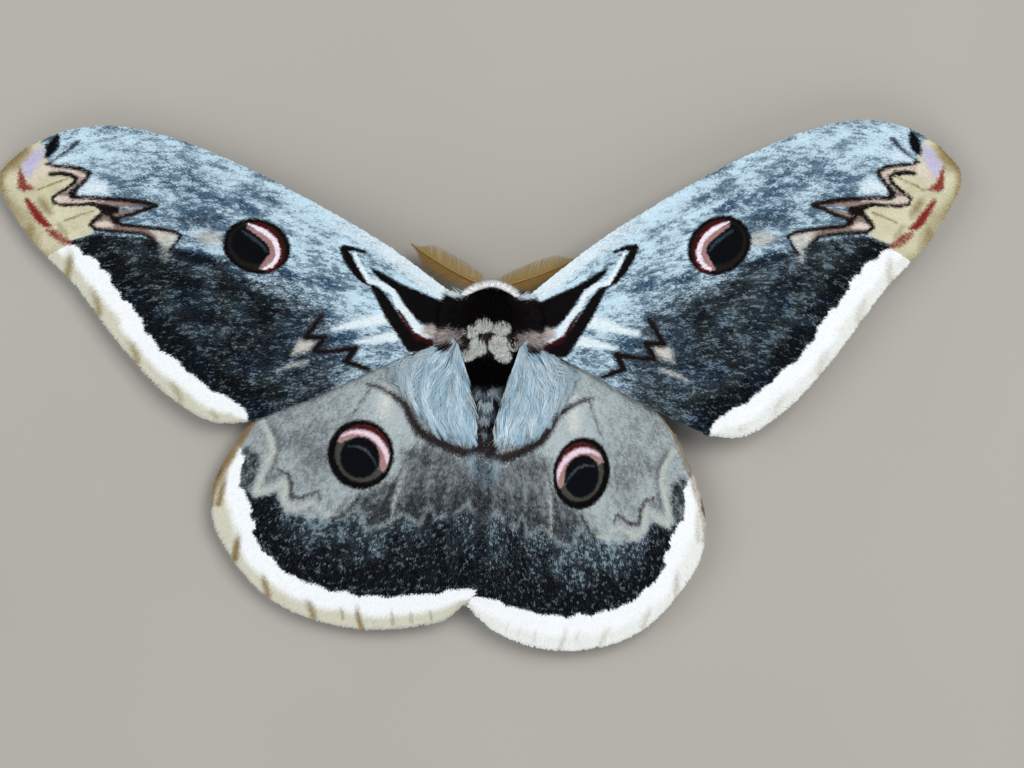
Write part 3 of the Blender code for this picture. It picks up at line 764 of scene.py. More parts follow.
    def ground(self, powder: Powder) -> None:
        """Icy powder in front, in darker and brighter clusters, and charcoal behind the eye spot."""
        x, y, share, b = powder.x, powder.y, powder.share, powder.b
        streaks = noise(b * 60.0, share * 9.0, 3) - 0.5
        clouds = noise(x * 0.45, y * 0.45, 5) - 0.5
        costa_gap, _ = gap_to_path(x, y, EdgeCurve(FORE_PLAN.front).path(24))
        mottles = noise(b * 26.0, share * 15.0, 14) - 0.5
        dapples = noise(b * 55.0, share * 40.0, 15) - 0.5
        dark = 0.45 + 0.2 * streaks + 0.35 * clouds + 0.5 * mottles + 0.4 * dapples
        for cx, cy, size, amount in self.CLUSTERS:
            dark += amount * np.exp(-(((x - cx) ** 2 + (1.6 * (y - cy)) ** 2) / size**2))
        dark -= (0.2 + 0.1 * smooth_step((30.0 - x) / 20.0)) * smooth_step((2.8 - costa_gap) / 2.4)
        powder.lay(np.ones(len(x)), ICE, np.clip(dark, 0.04, 0.85))
        strip = smooth_step((2.6 - costa_gap) / 1.6) * smooth_step((30.0 - x) / 18.0)
        powder.lay(0.85 * strip, SNOW)
        dark_blue = Tone("#33475A", "#0C1219", 0.75)
        pale_by_spot = ((45.6, 12.2), (42.8, 13.4), (40.8, 12.9), (40.9, 11.4), (43.0, 11.0))
        lay_marks(
            powder,
            Stroke(((47.4, 14.6), (44.4, 15.0), (41.7, 14.8)), (0.8, 1.4, 0.8), dark_blue, 0.9, 0.7),
            Patch(pale_by_spot, PALE_GREY, 0.7, 0.9),
        )
        region = (*self.CHARCOAL_EDGE, (35.4, -17.0), (60.0, -8.0), (70.0, 6.0))
        signed = depth_within(x, y, region, self.CHARCOAL_EDGE)
        soft = 0.35 + 3.2 * smooth_step((46.0 - x) / 14.0)
        cover = smooth_step(0.5 + (signed + 2.2 * streaks * soft / 3.5) / (2 * soft))
        band_gap, _ = gap_to_path(x, y, self.BAND_EDGE)
        flecks = 0.92 + 0.14 * streaks + 0.24 * clouds + 0.18 * mottles + 0.16 * dapples
        flecks += 0.25 * smooth_step((5.5 - band_gap) / 4.6)
        flecks -= 0.12 * smooth_step((36.0 - x) / 10.0) * smooth_step((3.0 - y) / 6.0)
        flecks -= 0.08 * smooth_step((signed - 0.5) / 1.5) * smooth_step((4.5 - signed) / 3.5)
        # On the right wing the charcoal is lightened by painted sheen.
        flecks = np.clip(flecks - self.painted_sheen, 0.0, 1.0)
        powder.lay(cover, CHARCOAL, flecks)
        blue = smooth_step(2.4 * noise(x * 0.3, y * 0.3, 12) - 0.9)
        powder.lay(0.7 * cover * blue, CHARCOAL_BLUE, flecks)
        Stroke(((31.6, -7.4), (29.3, -6.4), (27.1, -5.8)), (0.2, 0.7, 0.4), PALE_GREY, 0.4).lay_on(powder)

    def base_marks(self, powder: Powder) -> None:
        """The bent dark band and wedge near the root, rays, and the middle line."""
        lay_marks(
            powder,
            Stroke(((14.9, 1.3), (19.0, 0.3), (23.4, -0.8)), (2.0, 1.5, 0.5), SNOW, 0.5),
            Stroke(((12.0, -1.2), (16.0, -1.9), (20.0, -2.7)), (1.7, 1.3, 0.5), SNOW, 0.4),
            Patch(
                ((29.4, -4.9), (28.6, -2.8), (25.8, -1.8), (26.0, -3.8)),
                Tone("#E2DFD5", "#9D9B96", 0.35), 0.7,
            ),
            Stroke(
                ((25.1, 1.8), (26.0, 0.4), (24.4, -0.6)), (1.0, 1.6, 0.6),
                Tone("#3A3E44", "#14151A", 0.7), 0.8, 0.7,
            ),
            Stroke(self.MIDDLE_LINE, (0.9, 1.2, 1.1, 1.1, 0.9, 1.3, 1.2, 0.9), LINE, 0.4),
            Patch(
                ((12.2, -3.2), (8.0, -3.6), (6.0, -3.0), (6.0, -1.5), (10.0, -3.0)), PALE_ROSE, 0.6
            ),
            Patch(self.ROOT_WEDGE, Tone("#0E0B0D", "#070607", 0.6), 0.25),
            Stroke(self.ROOT_BAND, self.ROOT_BAND_WIDTHS, Tone("#120D0F", "#080606", 0.6), 0.2),
            Stroke(
                ((13.6, 2.2), (12.2, 0.4), (10.7, -1.3), (8.7, -2.0)), (0.5, 0.8, 1.2, 0.9), MAROON, 0.3
            ),
            Stroke(self.WHITE_LINE, (0.5, 0.7, 0.8, 0.8, 0.9, 0.9, 1.0, 1.2, 1.3), SNOW, 0.15),
            Patch(
                ((9.8, 0.2), (8.5, 0.4), (5.5, -1.1), (5.0, -2.0), (7.9, -2.0), (10.1, -0.8)),
                PALE_ROSE, 0.5,
            ),
        )

    def apex(self, powder: Powder) -> None:
        """The cream and olive wingtip with its lilac and black marks."""
        outline = (
            *self.ZIGZAG_OUTER, (59.4, 15.8), *self.ZIGZAG_LOWER[1:4],
            (60.8, 12.2), (62.2, 11.6), (64.3, 11.0),
            (66.0, 4.0), (75.0, 8.0), (79.0, 20.0), (73.0, 28.0), (69.4, 26.4), (68.2, 24.2),
        )
        margin_gap, _ = gap_to_path(powder.x, powder.y, EdgeCurve(FORE_PLAN.outer).path(40))
        apex = patch_cover(powder.x, powder.y, outline, 0.15)
        powder.sleek = np.maximum(powder.sleek, 0.8 * apex)
        powder.lay(apex, CREAM, 0.35 + 0.7 * (noise(powder.x * 0.6, powder.y * 0.6, 8) - 0.5))
        wave = noise(powder.x * 0.4, powder.y * 0.4, 9)
        fade = smooth_step((powder.y - 2.0) / 8.0)
        olive = fade * 0.75 * smooth_step((1.6 + 2.4 * wave - margin_gap) / 3.0)
        powder.lay(apex * olive, OLIVE, stipple=1.2)
        golden = smooth_step((powder.y - 14.0) / 5.0) * 0.85 * smooth_step((1.5 - margin_gap) / 1.6)
        powder.lay(apex * golden, BROWN_STAIN, stipple=1.2)
        lay_marks(
            powder,
            Stroke(((68.6, 16.9), (67.9, 16.0), (67.3, 15.2)), (0.9, 1.3, 0.9), OLIVE, 0.8, 0.9, 1.2),
            Stroke(((70.1, 12.6), (70.6, 11.6), (71.4, 10.6)), (0.9, 1.3, 1.5), BROWN_STAIN, 0.8, 0.6, 1.2),
            Stroke(((65.8, 13.4), (65.2, 12.6), (64.6, 12.0)), (0.6, 0.9, 0.6), OLIVE, 0.5, 0.6, 1.2),
            Stroke(((69.2, 18.5), (66.9, 19.5), (64.6, 20.4)), (0.25, 0.25, 0.2), OLIVE, 0.2),
            Stroke(((64.9, 14.0), (62.8, 14.8), (60.5, 15.6)), (0.25, 0.25, 0.2), OLIVE, 0.2),
            Stroke(((68.0, 22.0), (69.2, 20.8), (69.9, 19.6)), (1.2, 1.8, 0.8), PINK_CORE, 0.7, 0.6),
            Patch(
                (
                    (68.6, 25.2), (70.0, 24.3), (71.8, 22.2), (71.6, 20.8), (70.6, 20.2), (69.9, 21.4),
                    (68.6, 23.0),
                ),
                LILAC, 0.45, 0.95,
            ),
            Stroke(
                ((63.3, 25.9), (63.9, 25.5), (64.8, 24.6), (66.1, 23.6), (67.6, 22.6)),
                (0.5, 0.8, 0.4, 0.4, 0.4), Tone("#4E5A68", "#2A2D38", 0.6), 0.25,
            ),
            Stroke(
                ((68.6, 26.4), (67.8, 26.6), (67.0, 26.2)), (1.4, 1.6, 1.2),
                Tone("#5F7E8C", "#22323E", 0.6), 0.6,
            ),
            Patch(
                (
                    (66.5, 27.2), (68.3, 25.3), (68.4, 24.4), (68.3, 23.3), (67.4, 23.6), (66.2, 25.0),
                    (66.1, 26.6),
                ),
                Tone("#0C0F16", "#05070B", 0.6), 0.25,
            ),
        )

    def margin_band(self, powder: Powder) -> None:
        """The white border, cream with olive stains towards its outer edge."""
        margin = EdgeCurve(FORE_PLAN.outer).path(40)
        border = lay_border(powder, self.BAND_EDGE, margin[12:], 11.0, self.cream)
        for path, width, amount in self.BAND_STAINS:
            gap, along = gap_to_path(powder.x, powder.y, path)
            ends = smooth_step(0.3 + 2.0 * along) * smooth_step(2.6 * (1.0 - along) + 0.2)
            cover = smooth_step(1.0 - gap / width) * ends
            powder.lay(border * amount * self.cream * cover, OLIVE, stipple=1.0)

    def red_marks(self, powder: Powder) -> None:
        """Three soft red bars along the tip."""
        lay_marks(
            powder,
            Patch(
                ((72.2, 22.0), (72.3, 18.7), (71.4, 18.2), (69.5, 18.6), (70.9, 19.5), (71.5, 20.8)),
                RED, 0.35, 0.95,
            ),
            Stroke(
                ((70.8, 16.9), (70.1, 16.0), (69.0, 14.5), (68.0, 13.5), (67.0, 13.2)),
                (0.7, 1.1, 1.4, 1.2, 0.5), RED, 0.35,
            ),
            Stroke(
                ((67.3, 12.4), (66.3, 11.9), (65.2, 11.2), (64.0, 10.7)), (0.8, 1.3, 1.3, 0.7),
                RED, 0.4, 0.85,
            ),
        )

    def zigzag(self, powder: Powder) -> None:
        """The double dark line before the tip, filled with pinkish beige."""
        lay_marks(
            powder,
            Patch((*self.ZIGZAG_INNER[:14], (56.4, 16.3), *self.ZIGZAG_OUTER[::-1]), PINK_FILL, 0.12),
            Patch((*self.ZIGZAG_INNER[13:23], (49.3, 11.3), *self.ZIGZAG_LOWER[::-1]), PINK_FILL, 0.12),
            Stroke(
                ((68.2, 21.9), (65.6, 21.6), (63.4, 21.3), (62.3, 20.9)), (1.0, 0.7, 0.7, 0.6),
                PINK_CORE, 0.25, 0.85,
            ),
            Stroke(((62.3, 20.9), (63.1, 19.9), (64.6, 18.5)), (0.6, 0.4, 0.6), PINK_CORE, 0.3, 0.5),
            Stroke(
                ((66.2, 17.2), (64.6, 17.2), (61.8, 17.1), (59.0, 17.2)), (1.1, 1.0, 0.5, 0.3),
                PINK_CORE, 0.25,
            ),
            Stroke(((60.3, 13.5), (58.6, 13.7), (57.6, 13.5)), (0.7, 1.0, 0.4), PINK_CORE, 0.25),
            Patch(
                ((51.6, 13.0), (49.4, 12.8), (47.4, 12.4), (49.0, 10.2), (50.2, 11.2)),
                Tone("#E6E4D6", "#A7A8A0", 0.3), 0.5,
            ),
            Stroke(((49.4, 12.2), (49.2, 10.4), (49.4, 9.0)), (1.0, 1.6, 0.6), PALE_GREY, 0.8, 0.6),
            Patch(((63.4, 19.2), (60.9, 20.2), (58.9, 19.8), (58.4, 18.2), (62.9, 18.0)), SNOW, 0.6, 0.8),
            Patch(((67.0, 22.9), (64.5, 23.8), (63.2, 22.8)), SNOW, 0.5, 0.6),
            Patch(self.WEDGE, LINE, 0.15),
            Stroke(((58.4, 15.2), (57.0, 14.4), (56.4, 13.9)), (0.5, 1.1, 0.4), LINE, 0.25),
            Stroke(((63.2, 18.9), (63.9, 18.2), (63.6, 17.8)), (0.7, 1.1, 0.9), LINE, 0.2),
            Stroke(
                self.ZIGZAG_INNER,
                (0.4, 0.5, 0.6, 0.6, 0.65, 0.6, 0.7, 0.8, 0.7, 0.6, 0.6, 0.6, 0.55, 0.5, 0.5), LINE, 0.2,
            ),
            Stroke(self.ZIGZAG_OUTER, (0.6, 0.75, 0.65, 0.55, 0.5, 0.5, 0.5, 0.45, 0.6), LINE, 0.2),
            Stroke(self.ZIGZAG_LOWER, (0.7, 0.7, 0.65, 0.6, 0.6, 0.6, 0.5), LINE, 0.25),
        )


def lay_border(powder: Powder, edge: Path, margin: Path, lobes: float, cream: float) -> Array:
    """Lays a wing's white border, which turns to cream, with painted grey shade along its rim.

    Args:
        powder: Where to lay it.
        edge: The border's inner edge.
        margin: The wing's outer edge.
        lobes: How many shallow lobes its inner edge has.
        cream: How strong its cream and its painted rim shade are.

    Returns:
        How far the border covers each point.
    """
    x, y = powder.x, powder.y
    inner_gap, along = gap_to_path(x, y, edge)
    outer_gap, _ = gap_to_path(x, y, margin)
    beyond = [(px + 3.0 * (px - 25.0) / 40.0, py - 3.0) for px, py in margin]
    region = (*edge, *beyond[::-1])
    signed = np.where(inside(x, y, region), inner_gap, -inner_gap)
    lobe = 0.4 * np.abs(np.sin(np.pi * lobes * along)) - 0.25
    teeth = 0.3 * (noise(along * 110.0, np.zeros(len(x)), 21) - 0.5)
    border = smooth_step(0.5 + (signed + lobe + teeth) / 0.3)
    powder.sleek = np.maximum(powder.sleek, border)
    powder.lay(border, WHITE)
    depth = outer_gap / np.maximum(outer_gap + inner_gap, 1e-6)
    reach = 0.42 + 0.14 * (noise(along * 12.0, np.zeros(len(x)), 23) - 0.5)
    powder.lay(border * cream * smooth_step((reach - depth) / 0.3 + 0.5), EDGE_CREAM, stipple=1.0)
    # Painted grey shade along the very rim of the wing.
    rim = smooth_step((0.55 - outer_gap) / 0.5)
    powder.lay(border * rim * 0.7 * cream, RIM_SHADE, stipple=1.0)
    return border


class HindwingPattern:
    """The hindwing's fields, bands, lines and eye spot, in the left wing's millimetres."""

    CHARCOAL_EDGE = (
        (37.4, -20.6), (36.9, -24.3), (35.7, -25.9), (34.2, -26.6), (31.2, -26.0), (30.5, -27.0),
        (29.9, -28.6), (27.8, -29.2), (24.1, -29.4), (20.4, -28.8), (18.4, -27.6), (16.4, -30.0),
        (13.6, -29.2), (11.9, -28.2), (9.4, -29.4), (7.7, -27.4), (4.1, -28.0), (2.3, -26.6), (-0.3, -28.0),
    )
    DUSK_EDGE = (
        (22.0, -28.8), (20.4, -27.4), (18.6, -25.6), (16.4, -24.4), (12.8, -22.0), (12.2, -18.6),
        (8.9, -17.2), (6.1, -18.1), (3.9, -19.2), (-0.3, -19.8),
    )
    BAND_EDGE = (
        (38.6, -17.6), (36.9, -19.4), (36.3, -20.6), (36.7, -22.7), (36.9, -24.6), (36.1, -25.9),
        (35.2, -27.3), (34.9, -29.1), (34.3, -31.0), (34.5, -32.6), (33.1, -34.4), (30.6, -36.8),
        (28.7, -38.3), (25.7, -39.2), (23.1, -40.2), (20.3, -40.4), (17.5, -40.9), (14.4, -40.7),
        (8.9, -40.4), (4.6, -39.4), (-0.5, -39.2),
    )
    LIGHT_ZIGZAG = (
        (33.6, -15.2), (32.3, -17.6), (31.9, -19.7), (33.0, -22.1), (34.1, -24.7), (34.2, -25.7),
        (32.9, -25.6), (31.5, -24.9), (29.9, -24.1), (29.8, -25.4), (29.9, -27.2), (28.6, -28.1),
        (27.2, -27.6), (25.6, -26.9), (24.5, -27.7), (23.6, -28.4), (22.0, -28.6),
    )
    BROWN_ZIGZAG = (
        (31.1, -22.2), (29.5, -22.8), (28.9, -24.4), (28.9, -26.3), (27.2, -26.3), (24.9, -25.2),
        (24.4, -26.4),
    )
    GREY_ZIGZAG = ((32.6, -15.4), (31.0, -18.2), (31.6, -21.2), (32.4, -23.6), (30.6, -23.0))
    SCALLOPS = (
        (20.7, -29.1), (18.9, -27.2), (17.4, -30.6), (14.8, -29.9), (11.9, -27.9), (9.4, -29.4),
        (7.7, -26.6), (7.0, -28.5), (4.1, -27.6), (2.3, -26.1), (0.1, -28.3),
    )
    HAIR_BAND = (
        (18.0, -8.8), (16.2, -9.2), (14.2, -10.2), (12.2, -11.6), (11.2, -13.5), (9.9, -15.5), (8.1, -16.6),
        (6.3, -17.3), (4.6, -18.0), (2.4, -18.5), (0.0, -18.0),
    )
    STAINS = (
        (((38.8, -22.2), (39.4, -25.4), (39.9, -27.8)), 0.9, 0.9),
        (((36.7, -31.6), (36.9, -33.6), (37.2, -36.0)), 1.0, 0.95),
        (((32.9, -37.8), (32.5, -39.6), (31.9, -41.4)), 0.9, 0.85),
        (((26.6, -41.4), (25.5, -42.6), (24.9, -44.4)), 1.0, 0.75),
        (((18.5, -42.0), (18.2, -43.8), (17.6, -45.8)), 0.8, 0.85),
        (((20.9, -42.4), (20.4, -44.4)), 0.5, 0.5), (((13.2, -42.6), (12.8, -44.8)), 0.6, 0.5),
        (((10.4, -42.6), (10.0, -44.4)), 0.5, 0.4), (((7.4, -42.2), (7.0, -43.9)), 0.5, 0.4),
    )
    FOLDS = (((7.9, -27.8), (7.4, -39.4)), ((4.7, -27.6), (3.9, -39.0)), ((1.0, -19.4), (0.2, -38.6)))

    def __init__(self, side: Side) -> None:
        """The right wing is lighter with painted sheen, its border whiter, and its eye spot further in."""
        self.painted_sheen = 0.0 if side is Side.LEFT else 0.08
        self.cream = 1.0 if side is Side.LEFT else 0.35
        self.spot_shift = (0.0, 0.0) if side is Side.LEFT else (-0.95, -0.27)

    def paint(self, powder: Powder) -> None:
        """Lays every field and mark, from the ground up."""
        self.ground(powder)
        self.lines(powder)
        self.margin_band(powder)
        HIND_SPOT.lay_on(powder, self.spot_shift)

    def ground(self, powder: Powder) -> None:
        """Grey-beige towards the root, dusk behind the hair band, and charcoal beyond."""
        x, y, share, b = powder.x, powder.y, powder.share, powder.b
        streaks = noise(b * 60.0, share * 8.0, 31) - 0.5
        clouds = noise(x * 0.5, y * 0.5, 33) - 0.5
        dapples = noise(b * 80.0, share * 60.0, 36) - 0.5
        dark = 0.34 + 0.12 * streaks + 0.25 * clouds + 0.16 * dapples
        dark += 0.15 * smooth_step((x - 19.0) / 8.0) * smooth_step((y + 22.0) / 6.0)
        dark += 0.3 * np.exp(-(((x - 25.5) / 4.0) ** 2 + ((y + 20.5) / 3.0) ** 2))
        dark -= 0.45 * np.exp(-(((x - 13.8) / 3.2) ** 2 + ((y + 13.5) / 4.0) ** 2))
        # On the right wing painted sheen lightens the ground, the dusk and the charcoal.
        dark = np.clip(dark - self.painted_sheen, 0.04, 0.95)
        powder.lay(np.ones(len(x)), Tone("#BAC5C7", "#474D50", 0.3, 0.3), dark)
        region = (*self.DUSK_EDGE, (-1.0, -50.0), (22.0, -50.0))
        dusk = smooth_step(0.5 + (depth_within(x, y, region, self.DUSK_EDGE) + 0.8 * streaks) / 2.0)
        shade = 0.55 + 0.35 * streaks + 0.25 * clouds + 0.35 * dapples
        shade += 0.4 * smooth_step((-22.0 - y) / 7.0) - self.painted_sheen
        powder.lay(dusk, Tone("#8E969A", "#26282B", 0.5, 0.4), np.clip(shade, 0.1, 0.95))
        region = (*self.CHARCOAL_EDGE, (-1.0, -50.0), (45.0, -50.0), (45.0, -22.0))
        signed = depth_within(x, y, region, self.CHARCOAL_EDGE)
        soft = 0.5 + 1.3 * smooth_step((23.0 - x) / 5.0)
        band_gap, _ = gap_to_path(x, y, self.BAND_EDGE)
        # Painted sheen also lightens the right wing's charcoal.
        flecks = 0.85 + 0.2 * streaks + 0.22 * clouds + 0.16 * dapples - 0.6 * self.painted_sheen
        flecks += 0.42 * smooth_step((7.0 - band_gap) / 6.5) - 0.16 * smooth_step((5.0 - signed) / 5.0)
        flecks += 0.1 * smooth_step((17.0 - x) / 8.0)
        cover = smooth_step(0.5 + (signed + 0.8 * streaks * soft) / (2 * soft))
        powder.lay(cover, Tone("#8FA6B2", "#07080D", 0.9, 0.75), np.clip(flecks, 0.0, 1.0))
        corner = ((36.3, -18.8), (34.0, -20.2), (34.3, -23.8), (35.7, -26.2), (37.0, -24.5))
        speckle = np.clip(0.62 + 0.5 * streaks + 0.4 * dapples, 0.0, 1.0)
        powder.lay(patch_cover(x, y, corner, 0.6), Tone("#8E9A9D", "#15181A", 0.7, 0.6), speckle)

    def lines(self, powder: Powder) -> None:
        """Pale and brown zigzags, scallops, the brown band behind the long hair, and painted shade in folds
        and by the midline.
        """
        pale = Tone("#D0D4CB", "#959B96", 0.3, 0.15)
        brown = Tone("#4A3B38", "#2B2123", 0.5)
        # Dark tone of the folds: painted shade in the creases.
        fold = Tone("#1B2026", "#07090C", 0.9)
        lay_marks(
            powder,
            Stroke(self.GREY_ZIGZAG, (0.5, 0.9, 0.6, 0.9, 0.5), Tone("#6A6D6E", "#4C4E50", 0.5), 0.6, 0.8),
            Stroke(self.SCALLOPS, (0.5, 0.6, 0.6, 0.6, 0.5), Tone("#A3ADB0", "#4A5257", 0.4), 0.5, 0.8),
            Stroke(
                self.LIGHT_ZIGZAG,
                (0.8, 0.9, 0.8, 0.8, 0.9, 1.0, 0.9, 0.8, 0.8, 0.7, 0.7, 0.6, 0.4, 0.3, 0.2),
                pale, 0.45, 0.9,
            ),
            Stroke(self.BROWN_ZIGZAG, (0.3, 0.5, 0.7, 0.6, 0.5, 0.4, 0.3), brown, 0.35, 0.9),
            Stroke(
                ((11.5, -20.2), (12.5, -23.4), (13.3, -26.7), (13.6, -29.4)), (0.3, 0.5, 0.5, 0.2),
                PALE_GREY, 0.4, 0.8,
            ),
            Stroke(((17.5, -9.4), (18.8, -11.6), (20.2, -13.8)), (0.3, 0.3, 0.3), brown, 0.4, 0.6),
            Stroke(((14.8, -9.6), (15.4, -13.0)), (1.8, 1.6), Tone("#DEE2DE", "#B2B6B3", 0.3), 1.2),
            Stroke(
                self.HAIR_BAND, (0.2, 0.7, 1.2, 1.5, 1.6, 1.6, 1.6), Tone("#4C4244", "#171214", 0.75), 0.55
            ),
            # A dark patch by the midline, between the long hair and the abdomen: painted shade in the gap.
            Patch(
                ((2.6, -9.5), (0.0, -9.5), (0.0, -18.6), (1.9, -18.2)),
                Tone("#3E3435", "#161113", 0.7), 0.6,
            ),
            Stroke(
                ((1.7, -19.4), (1.1, -21.0), (0.5, -23.5)), (1.6, 1.6, 0.8),
                Tone("#9FB6C4", "#56656F", 0.4), 0.8, 0.8,
            ),
            # Painted shade along the folds of the wing.
            *(Stroke(path, (0.6, 1.2), fold, 0.8, 0.7) for path in self.FOLDS),
        )

    def margin_band(self, powder: Powder) -> None:
        """The white border with brown stains at its scallops, and the brown front edge."""
        margin = EdgeCurve(HIND_PLAN.outer).path(50)
        border = lay_border(powder, self.BAND_EDGE, margin[6:], 14.0, self.cream)
        edge = EdgeCurve(HIND_PLAN.front).path(20)[14:]
        Stroke(edge, (0.2, 0.9), BROWN_STAIN, 0.3, 0.4 + 0.6 * self.cream).lay_on(powder)
        browned = 0.9 * max(self.cream, 0.65)
        Stroke(margin[:13], (0.9, 1.5, 2.0, 1.7, 0.8), BROWN_STAIN, 0.45, browned, 1.2).lay_on(powder)
        for path, width, amount in self.STAINS:
            gap, along = gap_to_path(powder.x, powder.y, path)
            cover = smooth_step(1.0 - gap / width) * smooth_step(0.15 + 1.6 * along)
            powder.lay(border * amount * self.cream * cover, BROWN_STAIN, stipple=1.0)


@dataclass(frozen=True)
class Shape:
    """How one tuft is drawn: stations along it, each with its share of the width, and its sides."""

    stations: tuple[tuple[float, float], ...]
    sides: int = 2

    @property
    def along(self) -> Array:
        """Where its stations lie, as shares of the way along it."""
        return np.array([t for t, _ in self.stations])

    def template(self) -> tuple[Array, Array, Array, Array, Array]:
        """Points of one tuft.

        Returns:
            For each point its share along, its place across and up in half widths, and its
            station; then the triangles between the points.
        """
        along, across, up, station, rings = [], [], [], [], []
        for row, (t, width) in enumerate(self.stations):
            count = 1 if width == 0.0 else self.sides
            rings.append(list(range(len(along), len(along) + count)))
            for k in range(count):
                angle = math.pi * k if self.sides == 2 else 2 * math.pi * (k / self.sides + 0.25)
                along.append(t)
                station.append(row)
                across.append(width * math.cos(angle) if count > 1 else 0.0)
                up.append(width * math.sin(angle) if count > 1 and self.sides > 2 else 0.0)
        faces = []
        for low, high in zip(rings, rings[1:]):
            steps = self.sides if self.sides > 2 else 1
            for k in range(steps):
                a, b = low[k % len(low)], low[(k + 1) % len(low)]
                c, d = high[(k + 1) % len(high)], high[k % len(high)]
                if a != b:
                    faces.append((a, b, c))
                if c != d:
                    faces.append((a, c, d))
        return tuple(map(np.array, (along, across, up, station, faces)))


SCALE = Shape(((0.0, 0.0), (0.62, 1.0), (1.0, 0.0)))
LOCK = Shape(((0.0, 0.5), (0.35, 1.0), (0.72, 0.6), (1.0, 0.0)), sides=3)
BRISTLE = Shape(((0.0, 1.0), (0.5, 0.7), (1.0, 0.0)), sides=3)


def add_node(
    tree: bpy.types.NodeTree, kind: str, inputs: dict | None = None, settings: dict | None = None
) -> bpy.types.Node:
    """Adds a node with its settings and links.

    Args:
        tree: The material's nodes.
        kind: The node's type.
        inputs: For each input's name, a value or the output that it takes.
        settings: For each of the node's own settings, its value.

    Returns:
        The node.
    """
    node = tree.nodes.new(kind)
    for name, value in (settings or {}).items():
        setattr(node, name, value)
    for name, value in (inputs or {}).items():
        if isinstance(value, bpy.types.NodeSocket):
            tree.links.new(value, node.inputs[name])
        else:
            node.inputs[name].default_value = value
    return node


def new_material(
    name: str, values: dict[str, float]
) -> tuple[bpy.types.Material, bpy.types.NodeTree, bpy.types.Node]:
    """Starts a material.

    Args:
        name: The substance.
        values: The shader's inputs that are the same all over.

    Returns:
        The material, its nodes and its shader.
    """
    material = bpy.data.materials.new(name)
    material.use_nodes = True
    shader = material.node_tree.nodes["Principled BSDF"]
    for socket, value in values.items():
        shader.inputs[socket].default_value = value
    return material, material.node_tree, shader


def add_noise(tree: bpy.types.NodeTree, size_mm: float, detail: float) -> bpy.types.Node:
    """Adds noise with cells of a size in millimetres on the object."""
    where = add_node(tree, "ShaderNodeTexCoord").outputs["Object"]
    scale = 1.0 / (size_mm * MM)
    return add_node(tree, "ShaderNodeTexNoise", {"Vector": where, "Scale": scale, "Detail": detail})


@dataclass(frozen=True)
class CoatFinish:
    """Chitin scales or hair: colour from the tuft, broken by fine powder, and a soft sheen."""

    name: str
    roughness: float
    specular: float
    grain_mm: float
    grain_depth: float
    sheen: float = 0.0

    def make(self) -> bpy.types.Material:
        """The material, whose colour comes from the piece's own attribute."""
        material, tree, shader = new_material(self.name, {
            "Roughness": self.roughness, "Specular IOR Level": self.specular,
            "Sheen Weight": self.sheen, "Sheen Roughness": 0.5, "IOR": CHITIN_IOR,
        })
        colour = add_node(tree, "ShaderNodeAttribute", settings={"attribute_name": COAT})
        grain = add_noise(tree, self.grain_mm, 3.0)
        low, high = 1.0 - self.grain_depth, 1.0 + self.grain_depth
        depth = add_node(
            tree, "ShaderNodeMapRange", {"Value": grain.outputs["Fac"], "To Min": low, "To Max": high}
        )
        powder = add_node(
            tree, "ShaderNodeVectorMath",
            {0: colour.outputs["Color"], "Scale": depth.outputs["Result"]}, {"operation": "SCALE"},
        )
        tree.links.new(powder.outputs["Vector"], shader.inputs["Base Color"])
        return material


@dataclass(frozen=True)
class MottledFinish:
    """Claw horn or matt painted board: an even surface whose colour drifts a little."""

    name: str
    light: str
    dark: str
    roughness: float
    coat: float
    drift_mm: float

    def make(self) -> bpy.types.Material:
        """The material, mottled between its two colours."""
        material, tree, shader = new_material(
            self.name, {"Roughness": self.roughness, "Coat Weight": self.coat, "IOR": CHITIN_IOR}
        )
        drift = add_noise(tree, self.drift_mm, 2.0)
        ramp = add_node(tree, "ShaderNodeValToRGB", {"Fac": drift.outputs["Fac"]})
        stops = ((0.35, self.dark), (0.65, self.light))
        for stop, (position, colour) in zip(ramp.color_ramp.elements, stops):
            stop.position = position
            stop.color = (*linear(colour), 1.0)
        tree.links.new(ramp.outputs["Color"], shader.inputs["Base Color"])
        return material


@dataclass(frozen=True)
class EyeFinish:
    """A compound eye: near-black and glossy, with hexagon facets as fine dimples."""

    name: str = "compound_eye_cornea"
    colour: str = "#0B0706"
    facet_mm: float = 0.06

    def make(self) -> bpy.types.Material:
        """The material, with the facets as bump."""
        material, tree, shader = new_material(
            self.name, {"Roughness": 0.18, "Coat Weight": 0.6, "Coat Roughness": 0.08}
        )
        shader.inputs["Base Color"].default_value = (*linear(self.colour), 1.0)
        where = add_node(tree, "ShaderNodeTexCoord")
        facets = add_node(
            tree, "ShaderNodeTexVoronoi",
            {"Vector": where.outputs["Object"], "Scale": 1.0 / (self.facet_mm * MM)},
        )
        bump = add_node(
            tree, "ShaderNodeBump",
            {"Height": facets.outputs["Distance"], "Strength": 0.35, "Distance": 0.00002},
            {"invert": True},
        )
        tree.links.new(bump.outputs["Normal"], shader.inputs["Normal"])
        return material


# Matt powder that hardly shines, broken up scale by scale.
WING_SCALES = CoatFinish(
    "chitin_wing_scales", roughness=0.8, specular=0.05, grain_mm=0.25, grain_depth=0.08
)
# A deep short pile that swallows the light.
VELVET_HAIR = CoatFinish(
    "thorax_velvet_hair", roughness=0.85, specular=0.03, grain_mm=0.5, grain_depth=0.12
)
# Long pale strands with a faint silky gloss.
SILKY_HAIR = CoatFinish("silky_long_hair", roughness=0.6, specular=0.06, grain_mm=0.6, grain_depth=0.08)
# Short wiry brown hair that glints a little.
LEG_HAIR = CoatFinish(
    "leg_hair", roughness=0.7, specular=0.3, grain_mm=0.4, grain_depth=0.12, sheen=0.1
)
